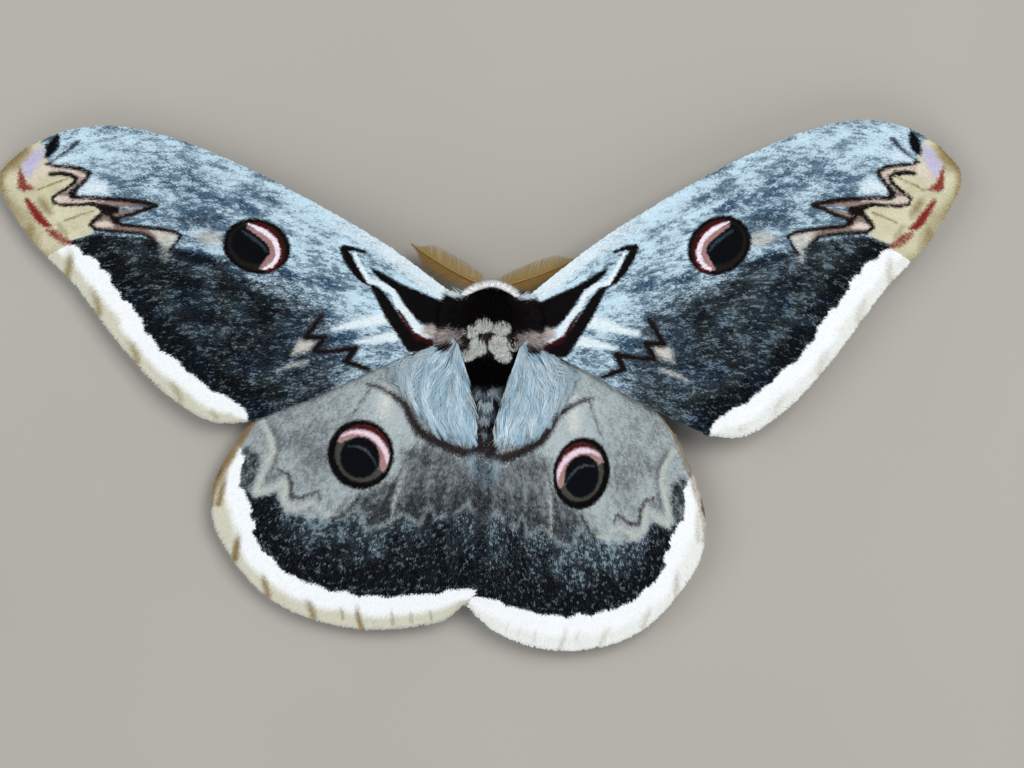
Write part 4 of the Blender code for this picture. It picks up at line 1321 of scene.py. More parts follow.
# Amber horn of the feelers, half glossy.
ANTENNA_CHITIN = CoatFinish("antenna_chitin", roughness=0.5, specular=0.4, grain_mm=0.3, grain_depth=0.1)
# Dark polished horn at the tips of the feet.
CLAW_HORN = MottledFinish("claw_horn", "#2A1A12", "#120B08", roughness=0.3, coat=0.3, drift_mm=0.3)
# A plain matt board, so that nothing takes the eye from the moth.
BOARD = MottledFinish(
    "matt_painted_board", "#B2ADA5", "#AFAAA2", roughness=0.85, coat=0.0, drift_mm=60.0
)


def deselect() -> None:
    """Leaves edit mode and lets go of everything that is selected."""
    if bpy.context.object and bpy.context.object.mode != "OBJECT":
        bpy.ops.object.mode_set(mode="OBJECT")
    bpy.ops.object.select_all(action="DESELECT")


def activate(obj: bpy.types.Object) -> None:
    """Selects one object alone and makes it the active one."""
    deselect()
    obj.select_set(True)
    bpy.context.view_layer.objects.active = obj


def apply_modifier(obj: bpy.types.Object, kind: str, **settings: object) -> None:
    """Adds a modifier and applies it.

    Args:
        obj: What to change.
        kind: The modifier's type.
        **settings: Its settings.
    """
    activate(obj)
    modifier = obj.modifiers.new(kind.lower(), kind)
    for name, value in settings.items():
        setattr(modifier, name, value)
    bpy.ops.object.modifier_apply(modifier=modifier.name)


def bake_place(obj: bpy.types.Object) -> None:
    """Puts the object at the origin, unturned and unscaled, with its place in its mesh."""
    activate(obj)
    bpy.ops.object.transform_apply(location=True, rotation=True, scale=True)


def turn_outwards(obj: bpy.types.Object, merge: float = 0.0) -> None:
    """Joins points that lie closer than merge, and turns every face outwards."""
    activate(obj)
    bpy.ops.object.mode_set(mode="EDIT")
    bpy.ops.mesh.select_all(action="SELECT")
    if merge > 0.0:
        bpy.ops.mesh.remove_doubles(threshold=merge)
    bpy.ops.mesh.normals_make_consistent(inside=False)
    bpy.ops.object.mode_set(mode="OBJECT")


def join(parts: list[bpy.types.Object], name: str) -> bpy.types.Object:
    """Joins objects in one and names it."""
    deselect()
    for part in parts:
        part.select_set(True)
    bpy.context.view_layer.objects.active = parts[0]
    bpy.ops.object.join()
    parts[0].name = name
    return parts[0]


def vertex_places(obj: bpy.types.Object) -> Array:
    """The places of a mesh's points, one row each."""
    places = np.zeros(len(obj.data.vertices) * 3, np.float32)
    obj.data.vertices.foreach_get("co", places)
    return places.reshape(-1, 3).astype(float)


def set_vertex_places(obj: bpy.types.Object, places: Array) -> None:
    """Moves a mesh's points."""
    obj.data.vertices.foreach_set("co", places.astype(np.float32).ravel())
    obj.data.update()


def set_colours(obj: bpy.types.Object, colours: Array) -> None:
    """Gives each point of a mesh its colour for the coat's finish."""
    layer = obj.data.color_attributes.new(name=COAT, type="FLOAT_COLOR", domain="POINT")
    rows = np.ones((len(colours), 4), np.float32)
    rows[:, :3] = colours
    layer.data.foreach_set("color", rows.ravel())


def place_piece(obj: bpy.types.Object, slot: str, *nodes: str) -> None:
    """Fixes a piece to the body, hides the solids that it replaces, and logs its face count.

    Args:
        obj: The piece.
        slot: Not used.
        *nodes: The solids that it replaces.
    """
    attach(obj, "root")
    if nodes:
        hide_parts(*nodes)
    log.info("%s: %d faces", obj.name, len(obj.data.polygons))


@dataclass
class Coat:
    """Many tufts of one shape along given lines. Lengths are in metres and colours are linear."""

    shape: Shape
    spines: Array
    up: Array
    width: Array
    colour: Array
    unwrap: Array
    root_shade: float = 0.8
    thickness: float = 0.5

    def place(self, name: str, material: bpy.types.Material, slot: str) -> bpy.types.Object:
        """Joins the tufts in one mesh and fixes it to the body.

        Args:
            name: The piece's name.
            material: Its finish.
            slot: The slot's name, passed on to place_piece().

        Returns:
            The object, with a colour for each point and the unwrap for baking.
        """
        along, across, rise, station, faces = self.shape.template()
        count, points = len(self.spines), len(along)
        steps = np.gradient(self.spines, axis=1)[:, station]
        side = unit(np.cross(steps, self.up[:, None, :]))
        over = np.cross(side, unit(steps))
        half = self.width[:, None, None] / 2
        places = self.spines[:, station] + side * half * across[None, :, None]
        places = places + over * half * (self.thickness * rise)[None, :, None]
        corners = (faces[None] + (np.arange(count) * points)[:, None, None]).reshape(-1)
        mesh = bpy.data.meshes.new(name)
        mesh.vertices.add(count * points)
        mesh.vertices.foreach_set("co", places.astype(np.float32).ravel())
        mesh.loops.add(len(corners))
        mesh.loops.foreach_set("vertex_index", corners.astype(np.int32))
        mesh.polygons.add(len(corners) // 3)
        mesh.polygons.foreach_set("loop_start", np.arange(0, len(corners), 3, dtype=np.int32))
        mesh.update(calc_edges=True)
        # Where root_shade is below 1, tufts are painted darker towards their roots, as shade deep in the
        # coat.
        shade = self.root_shade + (1.0 - self.root_shade) * along
        colour = np.ones((count, points, 4), np.float32)
        colour[..., :3] = self.colour[:, None, :] * shade[None, :, None]
        layer = mesh.color_attributes.new(name=COAT, type="FLOAT_COLOR", domain="POINT")
        layer.data.foreach_set("color", colour.ravel())
        patch = np.stack([across * 0.5, along - 0.5], 1) * BAKE_PATCH
        spread = (self.unwrap[:, None, :] + patch[None]).reshape(-1, 2)
        unwrap = mesh.uv_layers.new(name=UNWRAP)
        unwrap.data.foreach_set("uv", np.clip(spread, 0.0, 1.0)[corners].astype(np.float32).ravel())
        mesh.materials.append(material)
        obj = bpy.data.objects.new(name, mesh)
        bpy.context.scene.collection.objects.link(obj)
        place_piece(obj, slot)
        return obj


@dataclass
class Tufts:
    """Tufts that each start at a root and lie over the skin along a nearly straight line."""

    shape: Shape
    root: Array
    ahead: Array
    up: Array
    length: Array
    width: Array
    colour: Array
    unwrap: Array
    lift: Array
    curl: float = 0.0
    root_shade: float = 0.8

    def place(self, name: str, material: bpy.types.Material, slot: str) -> bpy.types.Object:
        """Joins the tufts in one mesh, as Coat.place() does."""
        along = self.shape.along
        rise = self.lift[:, None] * along - self.curl * along**2
        spines = self.root[:, None, :] + self.ahead[:, None, :] * (self.length[:, None] * along)[..., None]
        spines = spines + self.up[:, None, :] * (rise * self.length[:, None])[..., None]
        coat = Coat(self.shape, spines, self.up, self.width, self.colour, self.unwrap, self.root_shade)
        return coat.place(name, material, slot)


@dataclass
class Wing:
    """One wing: a thin veined skin, with scales on both faces."""

    plan: WingPlan
    side: Side
    origin: Vector
    pattern: ForewingPattern | HindwingPattern
    skin_thickness: float = 0.2
    skin_reach: float = 0.994
    skin_shade: float = 0.85
    root_tab: float = 2.4
    rows: int = 150
    columns: int = 84
    upper_scales: int = 88000
    under_scales: int = 20000
    scale_length: tuple[float, float] = (0.45, 0.72)
    scale_width: tuple[float, float] = (0.13, 0.18)
    under_growth: tuple[float, float] = (1.25, 1.875)
    stray: float = 0.12
    surface: WingSurface = field(init=False)

    def __post_init__(self) -> None:
        """Sets up the surface that everything on the wing follows."""
        self.surface = WingSurface(self.plan, self.side, self.origin)
        self.slot = f"{self.plan.name}_scales"
        self.label = f"{self.plan.name}_{self.side.name.lower()}"
        self.seed = 100 * (self.side.value + 2) + len(self.plan.front)

    def make(self, finish: bpy.types.Material) -> None:
        """Makes the skin and both coats."""
        place_piece(self.make_skin(finish), self.slot, self.label)
        self.make_scales(Face.UPPER, self.upper_scales, finish)
        self.make_scales(Face.UNDER, self.under_scales, finish)

    def make_skin(self, finish: bpy.types.Material) -> bpy.types.Object:
        """The membrane, from a grid bent to the wing, with a tab into the body, and thickened."""
        deselect()
        bpy.ops.mesh.primitive_grid_add(x_subdivisions=self.rows, y_subdivisions=self.columns, size=1.0)
        skin = bpy.context.object
        skin.name = f"{self.label}_membrane"
        plan = vertex_places(skin)
        tab_share = 0.03
        share = (plan[:, 0] + 0.5) * (self.skin_reach + tab_share) - tab_share
        b = 0.004 + (plan[:, 1] + 0.5) * 0.992
        held = np.maximum(share, 0.0)
        places = self.surface.at(held, b)
        places[:, 0] -= self.side.value * np.maximum(-share, 0.0) / tab_share * self.root_tab * MM
        places[:, 2] += 0.6 * self.surface.relief(held, b)
        set_vertex_places(skin, places)
        bake_place(skin)
        x, y = self.surface.flat(held, b).T
        powder = Powder(x, y, held, b, None)
        self.pattern.paint(powder)
        # The membrane takes the scales' colours, darkened as painted shade under the scales.
        set_colours(skin, powder.colours(np.random.default_rng(self.seed)) * self.skin_shade)
        skin.data.materials.append(finish)
        apply_modifier(
            skin, "SOLIDIFY", thickness=self.skin_thickness * MM, offset=0.0, use_even_offset=False
        )
        turn_outwards(skin)
        bpy.ops.object.shade_smooth()
        return skin

    def make_scales(self, face: Face, count: int, finish: bpy.types.Material) -> None:
        """The scales of one face, each a small blade that points to the margin.

        The white border's scales are wider and lie flatter, and those along a hindwing's back
        edge turn out over it. The underside is paler, with fewer and larger scales.

        Args:
            face: Which face of the wing.
            count: How many scales.
            finish: Their material.
        """
        rng = np.random.default_rng(self.seed + face.value)
        held_back = 0.002 if face is Face.UPPER else 0.016
        share, b = self.surface.scatter(count, self.skin_reach - held_back, rng)
        flat_ahead, ahead, across, up = self.surface.directions(share, b)
        up = up * face.value
        longer, wider = self.under_growth if face is Face.UNDER else (1.0, 1.0)
        length = rng.uniform(*self.scale_length, count) * longer
        width = rng.uniform(*self.scale_width, count) * wider
        middle = self.surface.flat(share, b) + flat_ahead * (0.5 * length)[:, None]
        powder = Powder(middle[:, 0], middle[:, 1], share, b, rng.random(count))
        powder.dash = self.surface.dashes(share, b, self.seed)
        self.pattern.paint(powder)
        colour = powder.colours(rng)
        if face is Face.UNDER:
            colour = colour * 0.8 + 0.06
        sleek = powder.sleek
        width = width * (1.0 + 0.5 * sleek)
        yaw = (rng.normal(0.0, self.stray, count) * (1.0 - 0.5 * sleek))[:, None]
        edge = smooth_step((b - 0.965) / 0.03)[:, None] * (self.plan is HIND_PLAN)
        ahead = unit(ahead + np.cross(up, ahead) * yaw + across * 1.3 * edge)
        root = self.surface.at(share, b)
        clear = self.skin_thickness / 2 - 0.02 + 0.035 * sleek
        root[:, 2] += self.surface.relief(share, b) + face.value * clear * MM
        Tufts(
            SCALE, root, ahead, up, length * MM, width * MM, colour,
            np.stack([0.01 + 0.98 * b, 0.01 + 0.98 * share], 1),
            lift=rng.uniform(0.06, 0.15, count) * (1.0 - 0.5 * sleek), curl=0.02, root_shade=0.92,
        ).place(f"{self.label}_{face.name.lower()}_scales", finish, self.slot)


class BodyPattern:
    """The velvet, collar and clumps of the body as seen from above, x to the moth's left."""

    COLLAR = (
        (5.9, 3.9), (2.9, 5.8), (0.1, 6.4), (-2.3, 6.2), (-4.5, 4.7), (-6.2, 3.8), (-8.0, 4.5),
        (-8.0, 9.0), (8.0, 9.0), (8.0, 4.5),
    )
    CLUMP_BED = (
        (4.4, -1.0), (2.6, 0.7), (0.8, 1.2), (-1.4, 0.9), (-3.2, 0.0), (-3.9, -1.4), (-3.2, -3.0),
        (-3.1, -4.9), (-0.6, -4.3), (1.8, -4.6), (4.0, -4.8), (3.9, -2.9),
    )
    CLUMPS = (
        (2.9, -0.5, 1.1, 0.8), (0.9, 0.5, 1.3, 0.9), (-1.7, 0.2, 1.4, 0.9), (1.6, -2.7, 1.3, 1.2),
        (-1.4, -2.3, 1.5, 1.3), (-2.1, -3.9, 1.2, 0.9), (3.3, -4.0, 1.2, 0.7), (-3.6, -2.2, 0.7, 0.7),
    )
    BLACK_PATCH = (
        (3.7, -5.3), (1.1, -4.3), (-0.3, -4.0), (-3.3, -4.8), (-3.6, -6.7), (-2.4, -8.3), (0.5, -8.6),
        (2.8, -8.4), (3.6, -6.7),
    )
    RING_TUFTS = (
        (-1.6, -9.3, 1.6, 1.0), (1.9, -9.6, 1.2, 1.1), (0.1, -11.6, 1.2, 0.9), (0.6, -13.8, 1.1, 0.7),
        (-2.3, -10.8, 0.7, 1.2), (0.2, -16.0, 0.8, 0.7),
    )

    def paint(self, powder: Powder) -> None:
        """Lays the colours. Here share is how far up the skin faces, and b counts the rings."""
        x, y, up = powder.x, powder.y, powder.share
        powder.lay(np.ones(len(x)), VELVET)
        flank = smooth_step((0.25 - up) / 0.5)
        powder.lay(flank, Tone("#6E6560", "#2E2726", 0.55))
        top = 1.0 - flank
        Patch(self.COLLAR, Tone("#EEF5F8", "#BFD0D8", 0.3), 0.25).lay_on(powder)
        bed = patch_cover(x, y, self.CLUMP_BED, 0.4) * top
        powder.lay(bed, Tone("#4A3B38", "#231A1B", 0.5))
        for cx, cy, wide, deep in self.CLUMPS:
            away = np.hypot((x - cx) / wide, (y - cy) / deep) + 0.35 * (noise(x * 2.2, y * 2.2, 51) - 0.5)
            powder.lay(smooth_step((1.12 - away) / 0.3) * top, Tone("#FBFDF6", "#A5B2B4", 0.2))
        black = patch_cover(x, y, self.BLACK_PATCH, 0.3) * top
        powder.lay(black, Tone("#0B0A0E", "#050507", 0.6))
        tail = smooth_step((-8.1 - y) / 0.6)
        powder.lay(tail, Tone("#584F5E", "#1A1319", 0.6))
        rings = smooth_step(0.5 + 2.2 * (np.sin(powder.b * 2 * np.pi) - 0.25))
        powder.lay(tail * rings * 0.75, Tone("#AFC6D5", "#4C5A68", 0.45))
        for cx, cy, wide, deep in self.RING_TUFTS:
            away = np.hypot((x - cx) / wide, (y - cy) / deep) + 0.4 * (noise(x * 1.8, y * 1.8, 52) - 0.5)
            powder.lay(smooth_step((1.1 - away) / 0.3) * top, Tone("#E6F5FD", "#A6C0D1", 0.25))


@dataclass(frozen=True)
class LegPlan:
    """The middle line of one right leg, hip to foot, in millimetres."""

    name: str
    joints: tuple[tuple[float, float, float], ...]


LEG_PLANS = (
    LegPlan("front", (
        (4.1, 2.6, 4.6), (7.4, 4.8, 5.1), (9.8, 6.9, 1.7), (11.2, 8.0, 0.33), (12.8, 9.1, 0.33),
    )),
    LegPlan("middle", (
        (3.9, -0.9, 3.9), (8.6, -1.6, 5.2), (11.8, -2.1, 1.7), (13.9, -2.3, 0.33), (15.9, -2.4, 0.33),
    )),
    LegPlan("hind", (
        (3.6, -4.2, 4.1), (7.3, -7.9, 4.9), (9.4, -11.6, 1.7), (10.2, -13.9, 0.33), (10.7, -16.0, 0.33),
    )),
)


@dataclass(frozen=True)
class Block:
    """A sphere swelled towards a box, in millimetres."""

    centre: tuple[float, float, float]
    half: tuple[float, float, float]
    roundness: float

    def inset(self, depth: float) -> "Block":
        """The block drawn in by that depth on every side."""
        return Block(self.centre, tuple(h - depth for h in self.half), self.roundness)

    def top(self, x: Array, y: Array) -> Array:
        """Height of its upper surface over each point of the plan, and its middle's outside it."""
        used = np.abs((x - self.centre[0]) / self.half[0]) ** self.roundness
        used = used + np.abs((y - self.centre[1]) / self.half[1]) ** self.roundness
        return self.centre[2] + self.half[2] * np.maximum(1.0 - used, 0.0) ** (1.0 / self.roundness)

    def holds(self, points: Array) -> Array:
        """Whether each point lies inside it."""
        shares = np.abs((points - np.array(self.centre)) / np.array(self.half)) ** self.roundness
        return shares.sum(1) < 1.0


THORAX = Block((0.0, -0.8, 8.0), (6.7, 8.1, 4.6), 2.3)
HEAD = Block((0.0, 5.2, 3.6), (2.5, 2.2, 2.4), 2.1)
EYE_CENTRE = (1.75, 5.9, 3.5)
EYE_RADIUS = 1.13
NECK_FROM_THORAX = 6.0
ABDOMEN_Z = 4.45
ABDOMEN_FROM_Y = WAIST_Y + 2.0
ABDOMEN_LENGTH = 26.0
RING_COUNT = 8.0
TAIL_Y = -33.0


def to_frame(points: Array, origin: Vector) -> Array:
    """Turns body millimetres into the row frame's metres."""
    return points * MM + np.array(origin)


def make_tube(name: str, points: Array, radii: Array, bevel: int = 3) -> bpy.types.Object:
    """A closed tube along a line, from a bevelled curve.

    Args:
        name: The object's name.
        points: The line in metres.
        radii: The radius at each point in metres.
        bevel: How round it is.

    Returns:
        The tube as a mesh.
    """
    curve = bpy.data.curves.new(name, "CURVE")
    curve.dimensions = "3D"
    curve.bevel_depth = MM
    curve.bevel_resolution = bevel
    curve.use_fill_caps = True
    spline = curve.splines.new("POLY")
    spline.points.add(len(points) - 1)
    for point, place, radius in zip(spline.points, points, radii):
        point.co = (*place, 1.0)
        point.radius = radius / MM
    tube = bpy.data.objects.new(name, curve)
    bpy.context.scene.collection.objects.link(tube)
    activate(tube)
    bpy.ops.object.convert(target="MESH")
    turn_outwards(tube, merge=0.01 * MM)
    return tube


def curve_through(joints: Array, count: int) -> Array:
    """Points of a smooth curve through joints in space."""
    return EdgeCurve(joints).at(np.linspace(0.0, 1.0, count))


def lay_down(lie: Array, normals: Array, stray: float, rng: np.random.Generator) -> Array:
    """Lays hair along the skin.

    Args:
        lie: The way it would lie, as one direction or one for each hair.
        normals: The skin's outward directions.
        stray: How far single hairs turn from it.
        rng: The source of draws.

    Returns:
        The hairs' directions.
    """
    ahead = unit(lie - normals * (lie * normals).sum(1, keepdims=True))
    return unit(ahead + rng.normal(0.0, stray, normals.shape))


@dataclass
class Body:
    """Thorax, head, abdomen and legs: one skin that lies below the coat, and the coat."""

    origin: Vector
    thorax_coat: float = 1.0
    head_coat: float = 0.4
    abdomen_coat: float = 0.7
    leg_coat: float = 0.22
    foot_height: float = 0.36
    thinnest_leg: float = 0.26
    voxel: float = 0.24

    def make(self, velvet: bpy.types.Material, leg_hair: bpy.types.Material) -> None:
        """Makes the skin and its coats."""
        skin = self.make_skin()
        points, normals = self.scatter(skin)
        self.dress(points, normals, velvet)
        self.colour_skin(skin, velvet)
        nodes = [f"leg_{plan.name}_{side.name.lower()}" for plan in LEG_PLANS for side in Side]
        place_piece(skin, "thorax_fur", "thorax", "head", "abdomen", *nodes)
        self.dress_legs(leg_hair)

    def make_block(self, name: str, block: Block) -> bpy.types.Object:
        """A rounded block from a sphere."""
        deselect()
        bpy.ops.mesh.primitive_uv_sphere_add(segments=56, ring_count=36, radius=1.0)
        obj = bpy.context.object
        obj.name = name
        ball = vertex_places(obj)
        total = (np.abs(ball) ** block.roundness).sum(1) ** (1.0 / block.roundness)
        ball = ball / total[:, None] * np.array(block.half) + np.array(block.centre)
        set_vertex_places(obj, to_frame(ball, self.origin))
        return obj

    def make_abdomen(self) -> bpy.types.Object:
        """The segmented abdomen, from a sphere drawn out along its drooping axis."""
        deselect()
        bpy.ops.mesh.primitive_uv_sphere_add(segments=48, ring_count=120, radius=1.0)
        obj = bpy.context.object
        obj.name = "abdomen_core"
        ball = vertex_places(obj)
        share = np.arccos(np.clip(ball[:, 2], -1.0, 1.0)) / np.pi
        angle = np.arctan2(ball[:, 1], ball[:, 0])
        radius = 3.6 * np.sin(np.pi * (0.93 * share + 0.035)) ** 0.42
        radius *= 1.0 - 0.36 * smooth_step((share - 0.35) / 0.65)
        radius *= 1.0 - 0.035 * (0.5 + 0.5 * np.cos(2.0 * RING_COUNT * np.pi * share))
        radius = np.where((share < 1e-4) | (share > 1.0 - 1e-4), 0.0, radius - self.abdomen_coat)
        z = ABDOMEN_Z - 1.3 * smooth_step((share - 0.45) / 0.55)
        y = ABDOMEN_FROM_Y - ABDOMEN_LENGTH * share + self.abdomen_coat * (share - 0.5)
        body = np.stack([1.04 * radius * np.cos(angle), y, z + 0.97 * radius * np.sin(angle)], 1)
        set_vertex_places(obj, to_frame(body, self.origin))
        return obj

    def leg_line(self, plan: LegPlan, side: Side, count: int) -> Array:
        """The middle line of a leg in metres."""
        line = curve_through(plan.joints, count)
        line[:, 2] = np.maximum(line[:, 2], self.foot_height)
        line[:, 0] *= side.value
        return to_frame(line, self.origin)

    def leg_radii(self, count: int) -> Array:
        """The skin's radius along a leg, in metres."""
        widths = np.interp(np.linspace(0, 1, count), np.linspace(0, 1, 5), (0.95, 0.95, 0.72, 0.5, 0.36))
        return np.maximum(widths - self.leg_coat, self.thinnest_leg) * MM

    def make_skin(self) -> bpy.types.Object:
        """Joins the parts in one closed skin without seams."""
        parts = [
            self.make_block("thorax_core", THORAX.inset(self.thorax_coat)),
            self.make_block("head_core", HEAD.inset(self.head_coat)),
            self.make_abdomen(),
        ]
        for side in Side:
            palp = np.array(((0.75, 6.4, 2.6), (0.75, 6.9, 2.1), (0.75, 7.3, 1.3)))
            palp[:, 0] *= side.value
            radii = np.array((0.42, 0.36, 0.24)) * MM
            parts.append(make_tube("palp_core", to_frame(palp, self.origin), radii))
            for plan in LEG_PLANS:
                parts.append(make_tube("leg_core", self.leg_line(plan, side, 26), self.leg_radii(26)))
        skin = join(parts, "body_skin")
        apply_modifier(skin, "REMESH", mode="VOXEL", voxel_size=self.voxel * MM, adaptivity=0.0)
        apply_modifier(skin, "SMOOTH", factor=0.5, iterations=4)
        activate(skin)
        bpy.ops.object.shade_smooth()
        return skin

    def scatter(self, skin: bpy.types.Object, density: float = 30.0) -> tuple[Array, Array]:
        """Places spread evenly over the skin.

        Args:
            skin: The skin.
            density: How many to a square millimetre.

        Returns:
            Places in body millimetres, and outward directions.
        """
        rng = np.random.default_rng(Seed.SPREAD)
        mesh = skin.data
        mesh.calc_loop_triangles()
        corners = np.zeros(len(mesh.loop_triangles) * 3, np.int32)
        mesh.loop_triangles.foreach_get("vertices", corners)
        places = vertex_places(skin)[corners.reshape(-1, 3)]
        cross = np.cross(places[:, 1] - places[:, 0], places[:, 2] - places[:, 0])
        area = np.linalg.norm(cross, axis=1) / 2 / MM**2
        count = int(area.sum() * density)
        total = np.cumsum(area) / area.sum()
        picked = np.searchsorted(total, (np.arange(count) + rng.random(count)) / count)
        picked = np.minimum(picked, len(area) - 1)
        one, two = rng.random((2, count))
        fold = one + two > 1.0
        one, two = np.where(fold, 1 - one, one), np.where(fold, 1 - two, two)
        chosen = places[picked]
        spots = chosen[:, 0] + (chosen[:, 1] - chosen[:, 0]) * one[:, None]
        spots = spots + (chosen[:, 2] - chosen[:, 0]) * two[:, None]
        return (spots - np.array(self.origin)) / MM, unit(cross[picked])

    def near_leg(self, points: Array) -> Array:
        """Whether each point belongs to a leg and not to the trunk."""
        near = np.zeros(len(points), bool)
        for plan in LEG_PLANS:
            line = curve_through(plan.joints, 40)
            for place in line:
                gap = np.hypot(np.abs(points[:, 0]) - place[0], points[:, 1] - place[1])
                near |= np.hypot(gap, points[:, 2] - place[2]) < 1.05
        return near & ~THORAX.inset(self.thorax_coat - 0.12).holds(points)

    def on_head(self, points: Array) -> Array:
        """Whether each point lies in front of the neck."""
        toward = unit(np.array(HEAD.centre) - np.array(THORAX.centre))
        return (points - np.array(THORAX.centre)) @ toward > NECK_FROM_THORAX

    def unwrap_trunk(self, points: Array) -> Array:
        """Each place on a cylinder round the trunk, opened flat."""
        axis = np.interp(points[:, 1], (-9.0, -7.0, 3.0, 7.0), (ABDOMEN_Z, 8.0, 8.0, 3.6))
        angle = np.arctan2(points[:, 0], points[:, 2] - axis)
        return np.stack([0.5 + 0.48 * angle / np.pi, 0.02 + 0.96 * (points[:, 1] - TAIL_Y) / 42.0], 1)

    def paint(self, points: Array, normals: Array, draw: Array | None, seed: int) -> Array:
        """Colours of places on the trunk."""
        ring = (ABDOMEN_FROM_Y - points[:, 1]) / ABDOMEN_LENGTH * RING_COUNT
        powder = Powder(-points[:, 0], points[:, 1], normals[:, 2], ring, draw)
        BodyPattern().paint(powder)
        return powder.colours(np.random.default_rng(seed))

    def grow(
        self, points: Array, ahead: Array, up: Array, length: Array, width: Array, colour: Array,
        lift: Array, curl: float, root_shade: float,
    ) -> Tufts:
        """Hair of the trunk, with its places, lengths and widths in body millimetres.

        Args:
            points: Where the hairs start.
            ahead: The way that each lies.
            up: The skin's outward directions.
            length: Their lengths.
            width: Their widths.
            colour: Their colours.
            lift: How steeply each leaves the skin.
            curl: How far their tips bend back to it.
            root_shade: How dark their roots are painted, as shade deep in the coat.

        Returns:
            The hairs in the row frame.
        """
        return Tufts(
            BRISTLE, to_frame(points, self.origin), ahead, up, length * MM, width * MM, colour,
            self.unwrap_trunk(points), lift, curl, root_shade,
        )

    def dress(self, points: Array, normals: Array, finish: bpy.types.Material) -> None:
        """Makes the coats of thorax, head and abdomen."""
        rng = np.random.default_rng(Seed.TRUNK)
        trunk = ~self.near_leg(points)
        points, normals = points[trunk], normals[trunk]
        head = self.on_head(points)
        abdomen = (points[:, 1] < WAIST_Y + 0.5) & ~THORAX.inset(0.7).holds(points)
        thorax = ~head & ~abdomen
        eye_gap = np.linalg.norm(np.abs(points) - np.array(EYE_CENTRE), axis=1)
        head &= eye_gap > EYE_RADIUS + 0.12
        thin = rng.random(len(points))
        self.dress_thorax(points[thorax & (thin < 0.9)], normals[thorax & (thin < 0.9)], finish)
        self.dress_abdomen(points[abdomen & (thin < 0.55)], normals[abdomen & (thin < 0.55)], finish)
        self.dress_head(points[head], normals[head], finish)

    def dress_thorax(self, points: Array, normals: Array, finish: bpy.types.Material) -> None:
        """Deep velvet, white at the collar and clumped on the back."""
        rng = np.random.default_rng(Seed.THORAX)
        near = np.zeros(len(points), bool)
        for cx, cy, wide, deep in BodyPattern.CLUMPS:
            near |= np.hypot((-points[:, 0] - cx) / wide, (points[:, 1] - cy) / deep) < 1.1
        near &= normals[:, 2] > 0.2
        aside = rng.normal(0.0, 0.09, (2 * near.sum(), 3)) * (1, 1, 0)
        crowd = np.repeat(points[near], 2, axis=0) + aside
        points = np.concatenate([points, crowd])
        normals = np.concatenate([normals, np.repeat(normals[near], 2, axis=0)])
        count = len(points)
        front = smooth_step((points[:, 1] - 4.0) / 1.5)[:, None]
        lie = np.array((0.0, -1.0, -0.15)) * (1 - front) + np.array((0.0, -0.1, 1.0)) * front
        lie[:, 0] += 0.25 * np.sign(points[:, 0]) * (np.abs(points[:, 0]) > 3.2)
        ahead = lay_down(lie, normals, 0.14, rng)
        length = rng.uniform(1.3, 1.8, count)
        lift = rng.uniform(0.3, 0.55, count)
        clumped = np.zeros(count, bool)
        for cx, cy, wide, deep in BodyPattern.CLUMPS:
            away = np.stack([(-points[:, 0] - cx) / wide, (points[:, 1] - cy) / deep], 1)
            gap = np.linalg.norm(away, axis=1)
            held = (gap < 1.1) & (normals[:, 2] > 0.2)
            spread = unit(np.stack([-away[:, 0], away[:, 1] - 0.1, np.full(count, 0.1)], 1))
            ahead[held] = spread[held]
            length[held] = ((0.62 - 0.22 * gap**2) * rng.uniform(0.85, 1.1, count))[held]
            lift[held] = 1.5 - 0.8 * gap[held]
            clumped |= held
        middle = points + ahead * (0.5 * length * ~clumped)[:, None] + normals * 0.4
        colour = self.paint(middle, normals, rng.random(count), Seed.THORAX_COLOUR)
        width = np.where(clumped, rng.uniform(0.11, 0.16, count), rng.uniform(0.15, 0.24, count))
        hairs = (points, ahead, normals, length, width, colour, lift)
        for name, part, shade in (("thorax_velvet", ~clumped, 0.5), ("thorax_clumps", clumped, 0.75)):
            coat = self.grow(*(column[part] for column in hairs), curl=0.18, root_shade=shade)
            coat.place(name, finish, "thorax_fur")

    def dress_abdomen(self, points: Array, normals: Array, finish: bpy.types.Material) -> None:
        """Ringed fur that lies to the tail."""
        rng = np.random.default_rng(Seed.ABDOMEN)
        count = len(points)
        ahead = lay_down(np.array((0.0, -1.0, -0.1)), normals, 0.16, rng)
        length = rng.uniform(1.1, 1.8, count)
        tail = np.clip((points[:, 1] - TAIL_Y) / 4.0, 0.35, 1.0)
        middle = points + ahead * 0.5 * length[:, None]
        colour = self.paint(middle, normals, rng.random(count), Seed.ABDOMEN_COLOUR)
        coat = self.grow(
            points, ahead, normals, length * tail, rng.uniform(0.16, 0.24, count), colour,
            rng.uniform(0.25, 0.5, count), curl=0.1, root_shade=0.65,
        )
        coat.place("abdomen_coat", finish, "abdomen_fur")

